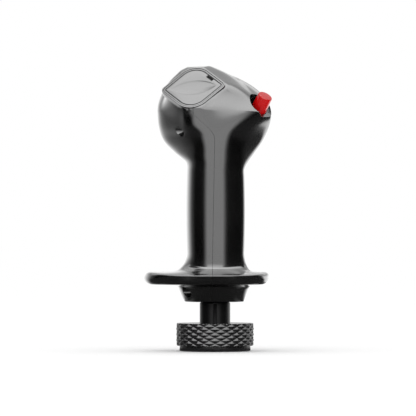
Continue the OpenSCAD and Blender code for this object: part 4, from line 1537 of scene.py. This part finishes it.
@dataclass
class CouplingNut:
    """Knurled coupling nut with its smooth rim, its web and grooves in place of its thread."""

    radius: float = 22.0
    height: float = 15.8
    rim_r: float = 20.0
    rim_h: float = 3.1
    thread_r: float = 16.9
    thread_len: float = 8.5
    pitch: float = 1.4
    web_z: float = 11.0
    recess_r: float = 15.6
    shaft_r: float = 8.65
    count: int = 20
    rows: int = 4
    depth: float = 0.9
    tip_gain: float = 1.08
    chamfer: float = 0.7
    top_r: float = 20.2
    mouth_r: float = 9.1
    mouth_h: float = 0.4
    fine: int = 12

    # One groove: how far out of the bore and how far down each of its points lies
    GROOVE: Knots = ((0.0, 0.1), (0.75, 0.55), (0.75, 0.75), (0.0, 1.2))
    GROOVE_START: float = 0.1

    def knurl_depth(self, across: float, along: float) -> float:
        """Depth of the knurl under its tips.

        Args:
            across: place round the nut, in diamonds.
            along: place along the nut, in diamonds.

        Returns:
            Depth in millimetres.
        """

        def groove(phase: float) -> float:
            """Height between two grooves: 0 in a groove, 1 half way."""
            return 1.0 - abs(2.0 * (phase - math.floor(phase)) - 1.0)

        tip = min(groove(across + along + 0.5), groove(across - along + 0.5))
        return self.depth * (1.0 - min(1.0, self.tip_gain * tip))

    def build(self, material: bpy.types.Material) -> bpy.types.Object:
        """Make the nut.

        Args:
            material: its finish.

        Returns:
            The piece.
        """
        columns, rows = self.count * self.fine, self.rows * self.fine
        bm = bmesh.new()
        bmesh.ops.create_grid(bm, x_segments=columns, y_segments=rows, size=1.0)
        z0, z1 = self.rim_h, self.height
        for vert in bm.verts:
            column = round((vert.co.x + 1) * columns / 2)
            row = round((vert.co.y + 1) * rows / 2)
            angle = math.tau * column / columns - math.pi / 2
            z = mix(z0, z1, row / rows)
            chamfer = max(0.0, self.chamfer - min(z - z0, z1 - z))
            knurl = self.knurl_depth(column / self.fine, row / self.fine)
            r = self.radius - max(knurl, chamfer)
            vert.co = (r * math.cos(angle), r * math.sin(angle), z)
        bmesh.ops.remove_doubles(bm, verts=bm.verts[:], dist=WELD)
        self.ring_down(bm)
        bmesh.ops.recalc_face_normals(bm, faces=bm.faces[:])
        piece = Bench.to_object(bm, "knurled_coupling_nut")
        return Bench.finish(piece, "nut", "nut", material, ["coupling_nut"], sharp=25.0)

    def ring_down(self, bm: BMesh) -> None:
        """Run the nut's top, bore, grooves and lower rim from its upper edge to its lower one.

        Args:
            bm: mesh of the open knurled drum.
        """
        profile = [
            (self.top_r, self.height), (self.mouth_r, self.height),
            (self.shaft_r, self.height - self.mouth_h), (self.shaft_r, self.web_z),
            (self.recess_r, self.web_z), (self.recess_r, self.thread_len),
            (self.thread_r, self.thread_len),
        ]
        for i in range(int(self.thread_len / self.pitch)):
            z = self.thread_len - self.GROOVE_START - i * self.pitch
            profile += [(self.thread_r + out, z - down) for out, down in self.GROOVE]
        profile += [
            (self.thread_r, 0.7), (self.thread_r + 0.7, 0.0), (self.rim_r - 0.6, 0.0),
            (self.rim_r - 0.15, 0.15), (self.rim_r, 0.6), (self.rim_r, self.rim_h - 0.5),
            (self.rim_r - 0.5, self.rim_h - 0.35), (self.rim_r - 0.5, self.rim_h),
        ]
        rims = [edge for edge in bm.edges if edge.is_boundary]
        loop = [e for e in rims if all(abs(v.co.z - self.height) < 1e-3 for v in e.verts)]
        low = [e for e in rims if all(abs(v.co.z - self.rim_h) < 1e-3 for v in e.verts)]
        for r, z in profile:
            made = bmesh.ops.extrude_edge_only(bm, edges=loop)
            loop = [item for item in made["geom"] if isinstance(item, BMEdge)]
            for vert in {v for edge in loop for v in edge.verts}:
                angle = math.atan2(vert.co.y, vert.co.x)
                vert.co = (r * math.cos(angle), r * math.sin(angle), z)
        bmesh.ops.bridge_loops(bm, edges=loop + low)


class Wiring:
    """Adds nodes to a shader tree and wires them."""

    def __init__(self, tree: bpy.types.NodeTree) -> None:
        """Work on one tree."""
        self.tree = tree

    def put(self, node: bpy.types.Node, inputs: Inputs) -> bpy.types.Node:
        """Set the inputs of a node.

        Args:
            node: the node.
            inputs: for each input, by name or number, a socket to link or else a value.

        Returns:
            The same node.
        """
        for key, value in inputs.items():
            if isinstance(value, bpy.types.NodeSocket):
                self.tree.links.new(value, node.inputs[key])
            else:
                node.inputs[key].default_value = value
        return node

    def add(self, kind: str, inputs: Inputs, **settings: object) -> bpy.types.Node:
        """Add a node.

        Args:
            kind: kind of shader node.
            inputs: its inputs, as in put.
            settings: its settings, which are made first.

        Returns:
            The node.
        """
        node = self.tree.nodes.new(f"ShaderNode{kind}")
        for key, value in settings.items():
            setattr(node, key, value)
        return self.put(node, inputs)


@dataclass(frozen=True)
class Finish:
    """A procedural finish: two close tones, a play of roughness and a fine relief."""

    name: str
    low: Colour
    high: Colour
    roughness: float
    swing: float = 0.03
    grain: float = 900.0
    relief: float = 0.02
    metallic: float = 0.0
    ior: float = 1.5
    coat: float = 0.0
    coat_roughness: float = 0.03
    # Lighter tint along crisp edges: real wear on metal and board, and a painted highlight on the
    # knurled nut.
    edge: float = 0.0
    edge_colour: Colour = (0.35, 0.35, 0.36)
    round_mm: float = 0.15
    relief_mm: float = 0.1

    def build(self) -> bpy.types.Material:
        """Make the material.

        Returns:
            The material, with its shared effects as node groups.
        """
        material = bpy.data.materials.new(self.name)
        material.use_nodes = True
        net = Wiring(material.node_tree)
        mottle = net.add(
            "Group",
            {
                "Scale": self.grain,
                "Low": (*self.low, 1.0),
                "High": (*self.high, 1.0),
                "Smooth": self.roughness - self.swing,
                "Rough": self.roughness + self.swing,
            },
            node_tree=Effects.mottle(),
        ).outputs
        soft = net.add("Group", {"Radius": self.round_mm * MM}, node_tree=Effects.soft_edge())
        bump = net.add(
            "Bump",
            {
                "Strength": self.relief,
                "Distance": self.relief_mm * MM,
                "Height": mottle["Height"],
                "Normal": soft.outputs["Normal"],
            },
        )
        colour = mottle["Colour"]
        # Edges tinted towards edge_colour: wear on metal and board edges, and a painted highlight
        # on the nut's knurl ridges.
        if self.edge > 0:
            wear_and_glint = net.add(
                "Group",
                {"Radius": 2.0 * self.round_mm * MM, "Amount": self.edge},
                node_tree=Effects.edge_wear(),
            )
            blend = net.add(
                "Mix",
                {"Factor": wear_and_glint.outputs["Mask"], "A": colour, "B": (*self.edge_colour, 1.0)},
                data_type="RGBA",
            )
            colour = blend.outputs["Result"]
        net.put(
            material.node_tree.nodes["Principled BSDF"],
            {
                "Base Color": colour,
                "Metallic": self.metallic,
                "Roughness": mottle["Roughness"],
                "IOR": self.ior,
                "Normal": bump.outputs["Normal"],
                "Coat Weight": self.coat,
                "Coat Roughness": self.coat_roughness,
            },
        )
        return material


class Effects:
    """Shader effects that several finishes share."""

    BEVEL_SAMPLES = 6

    @staticmethod
    def group(
        name: str,
        inputs: dict[str, str],
        outputs: dict[str, str],
        fill: Callable[[Wiring, bpy.types.NodeOutputs], Inputs],
    ) -> bpy.types.NodeTree:
        """Find a node group, or make it.

        Args:
            name: name of the group.
            inputs: kind of each input socket by its name.
            outputs: kind of each output socket by its name.
            fill: adds the group's nodes and gives the socket for each output.

        Returns:
            The group.
        """
        known = bpy.data.node_groups.get(name)
        if known:
            return known
        tree = bpy.data.node_groups.new(name, "ShaderNodeTree")
        for way, sockets in (("INPUT", inputs), ("OUTPUT", outputs)):
            for label, kind in sockets.items():
                tree.interface.new_socket(
                    name=label, in_out=way, socket_type=f"NodeSocket{kind}"
                )
        source, sink = tree.nodes.new("NodeGroupInput"), tree.nodes.new("NodeGroupOutput")
        net = Wiring(tree)
        net.put(sink, fill(net, source.outputs))
        return tree

    @classmethod
    def mottle(cls) -> bpy.types.NodeTree:
        """Fine moulded mottle: a tone, a roughness and a relief that wander together."""

        def fill(net: Wiring, given: bpy.types.NodeOutputs) -> Inputs:
            """Add the nodes of the mottle."""
            place = net.add("TexCoord", {}).outputs["Object"]
            fine = net.add("TexNoise", {"Vector": place, "Scale": given["Scale"], "Detail": 3.0})
            broad = net.add("TexNoise", {"Vector": place, "Scale": 45.0, "Detail": 2.0})
            height = fine.outputs["Fac"]
            tone = net.add(
                "Mix",
                {"Factor": height, "A": given["Low"], "B": given["High"]},
                data_type="RGBA",
            )
            gloss = net.add(
                "MapRange",
                {
                    "Value": broad.outputs["Fac"],
                    "From Min": 0.3,
                    "From Max": 0.7,
                    "To Min": given["Smooth"],
                    "To Max": given["Rough"],
                },
            )
            return {
                "Colour": tone.outputs["Result"],
                "Roughness": gloss.outputs["Result"],
                "Height": height,
            }

        return cls.group(
            "fine_mottle",
            {
                "Scale": "Float",
                "Low": "Color",
                "High": "Color",
                "Smooth": "Float",
                "Rough": "Float",
            },
            {"Colour": "Color", "Roughness": "Float", "Height": "Float"},
            fill,
        )

    @classmethod
    def rounded(cls, net: Wiring, given: bpy.types.NodeOutputs) -> bpy.types.NodeSocket:
        """Normal of a surface whose crisp edges are rounded."""
        node = net.add("Bevel", {"Radius": given["Radius"]}, samples=cls.BEVEL_SAMPLES)
        return node.outputs["Normal"]

    @classmethod
    def soft_edge(cls) -> bpy.types.NodeTree:
        """Small round along crisp edges."""

        def fill(net: Wiring, given: bpy.types.NodeOutputs) -> Inputs:
            """Add the one node of the round."""
            return {"Normal": cls.rounded(net, given)}

        return cls.group("soft_edge", {"Radius": "Float"}, {"Normal": "Vector"}, fill)

    @classmethod
    def edge_wear(cls) -> bpy.types.NodeTree:
        """Mask of edges that take a lighter tint: rubbed-thin wear, and on the dark knurled nut a
        painted highlight along its ridges.
        """

        def fill(net: Wiring, given: bpy.types.NodeOutputs) -> Inputs:
            """Add the nodes of the mask."""
            flat = net.add("NewGeometry", {}).outputs["Normal"]
            dot = net.add(
                "VectorMath", {0: cls.rounded(net, given), 1: flat}, operation="DOT_PRODUCT"
            )
            bend = net.add(
                "MapRange",
                {"Value": dot.outputs["Value"], "From Min": 0.995, "From Max": 0.8},
            )
            mask = net.add(
                "Math",
                {0: bend.outputs["Result"], 1: given["Amount"]},
                operation="MULTIPLY",
                use_clamp=True,
            )
            return {"Mask": mask.outputs["Value"]}

        return cls.group(
            "edge_wear", {"Radius": "Float", "Amount": "Float"}, {"Mask": "Float"}, fill
        )


class Shade(Wiring):
    """Shader network of one of the studio's cards."""

    def __init__(self, name: str) -> None:
        """Start a glowing material.

        Args:
            name: name of the material.
        """
        self.material = bpy.data.materials.new(name)
        self.material.use_nodes = True
        super().__init__(self.material.node_tree)
        self.tree.nodes.clear()
        self.glow = self.add("Emission", {})
        self.add("OutputMaterial", {"Surface": self.glow.outputs["Emission"]})
        self.place = self.add("TexCoord", {}).outputs["Object"]

    def axes(self) -> bpy.types.NodeOutputs:
        """The X, Y and Z of a place on the card."""
        return self.add("SeparateXYZ", {"Vector": self.place}).outputs

    def math(self, operation: str, a: object, b: object) -> bpy.types.NodeSocket:
        """Work out a value from two sockets or numbers."""
        return self.add("Math", {0: a, 1: b}, operation=operation).outputs["Value"]

    def smooth(
        self, value: bpy.types.NodeSocket, span: tuple[float, float], ends: tuple[float, float]
    ) -> bpy.types.NodeSocket:
        """Ease from one value to another over a span.

        Args:
            value: socket that is read.
            span: where the change begins and ends.
            ends: values before and after it.

        Returns:
            Socket with the eased value.
        """
        limits = dict(zip(("From Min", "From Max", "To Min", "To Max"), (*span, *ends)))
        node = self.add("MapRange", {"Value": value, **limits}, interpolation_type="SMOOTHSTEP")
        return node.outputs["Result"]

    def blend(
        self, share: bpy.types.NodeSocket, low: bpy.types.NodeSocket, high: float
    ) -> bpy.types.NodeSocket:
        """Blend a value towards a constant by a share."""
        return self.add("Mix", {"Factor": share, "A": low, "B": high}).outputs["Result"]

    def finish(self, card: bpy.types.Object, strength: bpy.types.NodeSocket) -> bpy.types.Object:
        """Put the material on a card and keep the card out of everything but reflections.

        Args:
            card: the card.
            strength: brightness over the card, where 1 is white.

        Returns:
            The same card.
        """
        self.put(self.glow, {"Strength": strength})
        card.data.materials.append(self.material)
        for ray in ("camera", "diffuse", "shadow", "transmission", "volume_scatter"):
            setattr(card, f"visible_{ray}", False)
        return card


@dataclass(frozen=True)
class Card:
    """A card that lies on the floor and bends up beside the object, seen by its gloss only.

    Its stops are pairs of bearing and brightness. The bearing is in degrees from the camera's
    side, positive to the right. The card fades to its near brightness round the object and to
    its top brightness at its upper edge.
    """

    name: str
    stops: Knots
    rise: tuple[float, float]
    foot: tuple[float, float]
    top: float = 1.0
    near: float = 0.05
    inner: float = 0.055
    reach: float = 1.6
    floor: float = 0.0009
    peak: float = 3.0
    steps: int = 48

    def build(self) -> bpy.types.Object:
        """Make the card.

        Returns:
            The stage object.
        """
        start, end = self.stops[0][0], self.stops[-1][0]
        a, b = math.radians(start), math.radians(end)
        profile = ((self.inner, self.floor), (self.reach, self.floor), (self.reach, self.rise[1]))
        line = [(r * math.sin(a), -r * math.cos(a), z) for r, z in profile]
        bm = Bench.spun(line, Z_AXIS, math.radians(end - start), self.steps)
        shade = Shade(self.name)
        axes = shade.axes()
        bearing = shade.math("ARCTAN2", axes["X"], shade.math("MULTIPLY", axes["Y"], -1.0))
        share = shade.add("MapRange", {"Value": bearing, "From Min": a, "From Max": b})
        ramp = shade.add("ValToRGB", {"Fac": share.outputs["Result"]})
        bands = ramp.color_ramp.elements
        while len(bands) < len(self.stops):
            bands.new(0.5)
        for band, (angle, tone) in zip(bands, self.stops):
            grey = tone / self.peak
            band.position = (angle - start) / (end - start)
            band.color = (grey, grey, grey, 1.0)
        strength = shade.math("MULTIPLY", ramp.outputs["Color"], self.peak)
        far = shade.add("VectorMath", {0: shade.place}, operation="LENGTH").outputs["Value"]
        strength = shade.blend(shade.smooth(axes["Z"], self.rise, (0.0, 1.0)), strength, self.top)
        strength = shade.blend(shade.smooth(far, self.foot, (1.0, 0.0)), strength, self.near)
        return shade.finish(Bench.to_object(bm, self.name), strength)


@dataclass(frozen=True)
class Glow:
    """A level card whose brightness falls off from one place, seen by the gloss only."""

    name: str
    centre: tuple[float, float, float]
    half: float
    peak: float
    edge: float
    core: float
    reach: float
    dim: float = 1.0
    behind: tuple[float, float] = (-0.1, 0.7)

    def build(self) -> bpy.types.Object:
        """Make the card, dimmed behind the object where asked.

        Returns:
            The stage object.
        """
        bm = bmesh.new()
        bmesh.ops.create_grid(bm, x_segments=1, y_segments=1, size=self.half)
        bmesh.ops.translate(bm, vec=self.centre, verts=bm.verts[:])
        shade = Shade(self.name)
        far = shade.add("VectorMath", {0: shade.place, 1: self.centre}, operation="DISTANCE")
        fall = shade.smooth(far.outputs["Value"], (self.core, self.reach), (self.peak, self.edge))
        dimmed = shade.smooth(shade.axes()["Y"], self.behind, (1.0, self.dim))
        strength = shade.math("MULTIPLY", fall, dimmed)
        return shade.finish(Bench.to_object(bm, self.name), strength)


@dataclass
class Studio:
    """Camera, white surround, floor, soft lamp and reflecting cards."""

    distance: float = 2.5
    frame_width: float = 0.23467
    middle: tuple[float, float] = (-0.00395, 0.08067)
    sensor_mm: float = 36.0
    far_clip: float = 50.0
    floor_half: float = 6.0
    lamp_place: tuple[float, float, float] = (-0.2, -0.4, 1.2)
    lamp_turn: tuple[float, float, float] = (-18.0, -9.0, 0.0)
    lamp_size: float = 0.8
    lamp_energy: float = 1.2
    cards: Sequence[Card] = (
        Card(
            "card_left",
            (
                (-115, 0.17), (-104, 0.07), (-97, 0.0), (-58, 0.0), (-52, 0.1), (-44, 0.56),
                (-37, 1.0),
            ),
            (1.3, 2.0),
            (0.25, 0.5),
        ),
        Card(
            "card_left_back",
            ((-178, 1.0), (-150, 1.3), (-135, 1.0), (-115, 0.17)),
            (0.2, 0.9),
            (0.08, 0.14),
            0.4,
            0.2,
        ),
        Card(
            "card_right",
            (
                (35, 1.0), (40, 0.5), (45, 0.08), (50, 0.0), (92, 0.0), (98, 0.04), (108, 0.1),
                (114, 0.4),
            ),
            (1.1, 1.8),
            (0.25, 0.5),
        ),
        Card(
            "card_right_back",
            ((114, 0.4), (120, 2.0), (150, 2.0), (178, 1.0)),
            (0.15, 0.6),
            (0.08, 0.14),
            0.55,
        ),
    )
    glows: Sequence[Glow] = (
        Glow("card_overhead", (-0.42, -0.25, 1.3), 2.4, 3.0, 2.1, 0.25, 2.2, 0.35),
        Glow("card_back", (0.0, 5.9, 1.31), 3.9, 1.05, 1.05, 0.0, 4.0),
        Glow("card_front", (0.0, -2.4, 1.32), 8.0, 2.1, 1.0, 0.0, 6.0),
        Glow("card_shoulder", (-1.2, 0.45, 1.28), 0.65, 0.08, 1.6, 0.4, 0.75),
        Glow("card_floor", (0.0, -0.05, 0.0006), 0.075, 0.04, 0.2, 0.055, 0.075),
        Glow("card_floor_front", (-0.04, -0.17, 0.0004), 0.25, 0.12, 1.0, 0.15, 0.25),
    )

    def build(self) -> None:
        """Set up the studio."""
        bpy.context.scene.view_settings.view_transform = "Standard"
        self.camera()
        self.surround()
        self.floor()
        for card in (*self.cards, *self.glows):
            card.build()
        self.lamp()

    def camera(self) -> None:
        """Camera level with the middle of the picture."""
        lens = bpy.data.cameras.new("camera")
        lens.sensor_width = self.sensor_mm
        lens.lens = self.sensor_mm * self.distance / self.frame_width
        lens.clip_end = self.far_clip
        camera = bpy.data.objects.new("camera", lens)
        camera.location = (self.middle[0], -self.distance, self.middle[1])
        camera.rotation_euler = (math.radians(90), 0.0, 0.0)
        bpy.context.scene.collection.objects.link(camera)
        bpy.context.scene.camera = camera

    @staticmethod
    def surround() -> None:
        """White world."""
        world = bpy.data.worlds.new("white_surround")
        world.use_nodes = True
        Wiring(world.node_tree).put(
            world.node_tree.nodes["Background"], {"Color": (1, 1, 1, 1), "Strength": 1.0}
        )
        bpy.context.scene.world = world

    def lamp(self) -> None:
        """Soft lamp above, which the gloss doesn't mirror."""
        soft = bpy.data.lights.new("overhead_soft_lamp", "AREA")
        soft.shape = "DISK"
        soft.size = self.lamp_size
        soft.energy = self.lamp_energy
        lamp = bpy.data.objects.new("overhead_soft_lamp", soft)
        lamp.location = self.lamp_place
        lamp.rotation_euler = [math.radians(angle) for angle in self.lamp_turn]
        lamp.visible_glossy = False
        bpy.context.scene.collection.objects.link(lamp)

    def floor(self) -> None:
        """White floor that keeps the object's shadow."""
        bm = bmesh.new()
        bmesh.ops.create_grid(bm, x_segments=1, y_segments=1, size=self.floor_half)
        floor = Bench.to_object(bm, "studio_floor")
        material = bpy.data.materials.new("studio_floor")
        material.use_nodes = True
        Wiring(material.node_tree).put(
            material.node_tree.nodes["Principled BSDF"],
            {"Base Color": (1.0, 1.0, 1.0, 1.0), "Roughness": 1.0, "Specular IOR Level": 0.0},
        )
        floor.data.materials.append(material)


class Finishes:
    """All finishes of the part."""

    SHELL = Finish(
        "gloss_black_moulding", (0.0014, 0.0014, 0.0015), (0.002, 0.002, 0.0021), 0.17, 0.02,
        1400.0, 0.01, ior=2.12, coat=1.0, coat_roughness=0.1,
    )
    PLATE = Finish(
        "satin_black_plate", (0.003, 0.003, 0.003), (0.005, 0.005, 0.005), 0.24, 0.03,
        2200.0, 0.03, ior=2.0, coat=1.0, coat_roughness=0.15, round_mm=0.1,
    )
    RED = Finish(
        "red_moulding", (0.52, 0.001, 0.002), (0.6, 0.002, 0.003), 0.22, 0.03,
        1600.0, 0.015, ior=1.45, coat=0.25, round_mm=0.2,
    )
    # Its lighter knurl edges are partly edge wear and partly a painted highlight along the ridges.
    NUT = Finish(
        "black_anodised_knurl", (0.006, 0.006, 0.0065), (0.011, 0.011, 0.012), 0.24, 0.05,
        3000.0, 0.06, ior=1.85, edge=0.4, edge_colour=(0.08, 0.08, 0.085), round_mm=0.08,
    )
    STEM = Finish(
        "black_anodised_stem", (0.003, 0.003, 0.0032), (0.006, 0.006, 0.0064), 0.36, 0.05,
        2600.0, 0.05, ior=1.28, edge=0.3, round_mm=0.15,
    )
    BLACK = Finish(
        "matt_black_moulding", (0.01, 0.01, 0.011), (0.02, 0.02, 0.021), 0.45, 0.06, 2000.0, 0.08,
    )
    STEEL = Finish(
        "ground_steel", (0.45, 0.45, 0.46), (0.6, 0.6, 0.61), 0.32, 0.08, 2500.0, 0.08,
        metallic=1.0, edge=0.3, edge_colour=(0.8, 0.8, 0.82),
    )
    DARK_STEEL = Finish(
        "blackened_screw_steel", (0.04, 0.04, 0.042), (0.09, 0.09, 0.094), 0.35, 0.07, 2500.0,
        0.08, metallic=1.0, edge=0.5,
    )
    BRASS = Finish(
        "turned_brass", (0.62, 0.42, 0.14), (0.75, 0.54, 0.2), 0.3, 0.06, 2500.0, 0.06,
        metallic=1.0, edge=0.3, edge_colour=(0.9, 0.75, 0.4),
    )
    BOARD = Finish(
        "green_board", (0.006, 0.07, 0.022), (0.012, 0.12, 0.04), 0.4, 0.05, 500.0, 0.1,
        coat=0.3, edge=0.6, edge_colour=(0.4, 0.32, 0.14),
    )
    NATURAL = Finish(
        "natural_nylon", (0.62, 0.59, 0.5), (0.72, 0.69, 0.6), 0.42, 0.06, 1500.0, 0.06,
    )
    CABLE = Finish(
        "cable_jacket", (0.012, 0.012, 0.012), (0.024, 0.024, 0.025), 0.5, 0.08, 3000.0, 0.15,
    )
    BASE = Finish(
        "blue_switch_housing", (0.008, 0.03, 0.08), (0.014, 0.05, 0.12), 0.4, 0.05, 1800.0, 0.06,
    )


@dataclass
class Fittings:
    """CAD nodes that keep their shape, with rounded edges where they can be seen."""

    rounded: Sequence[tuple[str, str, str, str, str, float]] = (
        ("stem", "coupling_stem", "grip", "stem", "STEM", 0.2),
        ("trigger", "finger_trigger", "trigger", "black", "SHELL", 0.5),
        ("shell_screws", "socket_screws", "grip", "steel", "DARK_STEEL", 0.12),
        ("hat_cap", "hat_switch_cap", "hat", "black", "BLACK", 0.15),
        ("hat_base", "hat_switch_base", "grip", "black", "BASE", 0.15),
        ("connector_block", "plug_block", "grip", "black", "BLACK", 0.15),
    )
    dressed: Sequence[tuple[str, str]] = (
        ("threaded_inserts", "BRASS"),
        ("plate_magnets", "STEEL"),
        ("plate_keepers", "STEEL"),
        ("hat_gimbal", "NATURAL"),
        ("button_spring", "STEEL"),
        ("button_switch", "BLACK"),
        ("button_board", "BOARD"),
        ("trigger_pin", "STEEL"),
        ("trigger_spring", "STEEL"),
        ("trigger_switch", "BLACK"),
        ("main_board", "BOARD"),
        ("board_header", "NATURAL"),
        ("signal_cable", "CABLE"),
        ("contact_sleeves", "BRASS"),
    )

    def build(self, materials: dict[str, bpy.types.Material]) -> None:
        """Dress all of them.

        Args:
            materials: finishes by name.
        """
        for node, name, body, slot, finish, width in self.rounded:
            piece = Bench.to_object(Bench.softened(node, width), name)
            Bench.finish(piece, body, slot, materials[finish], [node], 34.0)
        for node, finish in self.dressed:
            piece = bpy.data.objects[node]
            piece.data.materials.clear()
            piece.data.materials.append(materials[finish])
            LOG.info("%s: dressed in %s", node, finish.lower())


def main() -> None:
    """Build the dressed model piece by piece."""
    logging.basicConfig(level=logging.INFO, format="%(name)s %(message)s")
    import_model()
    Studio().build()
    names = [name for name in vars(Finishes) if name.isupper()]
    materials = {name: getattr(Finishes, name).build() for name in names}
    shells = GripShells()
    for side in Side:
        shells.build(side, materials["SHELL"])
    plate = ThumbPlate()
    plate.build_frame(materials["PLATE"])
    plate.build_plate(materials["PLATE"])
    TakeoverButton().build(materials["RED"])
    CouplingNut().build(materials["NUT"])
    Fittings().build(materials)


if __name__ == "__main__":
    main()
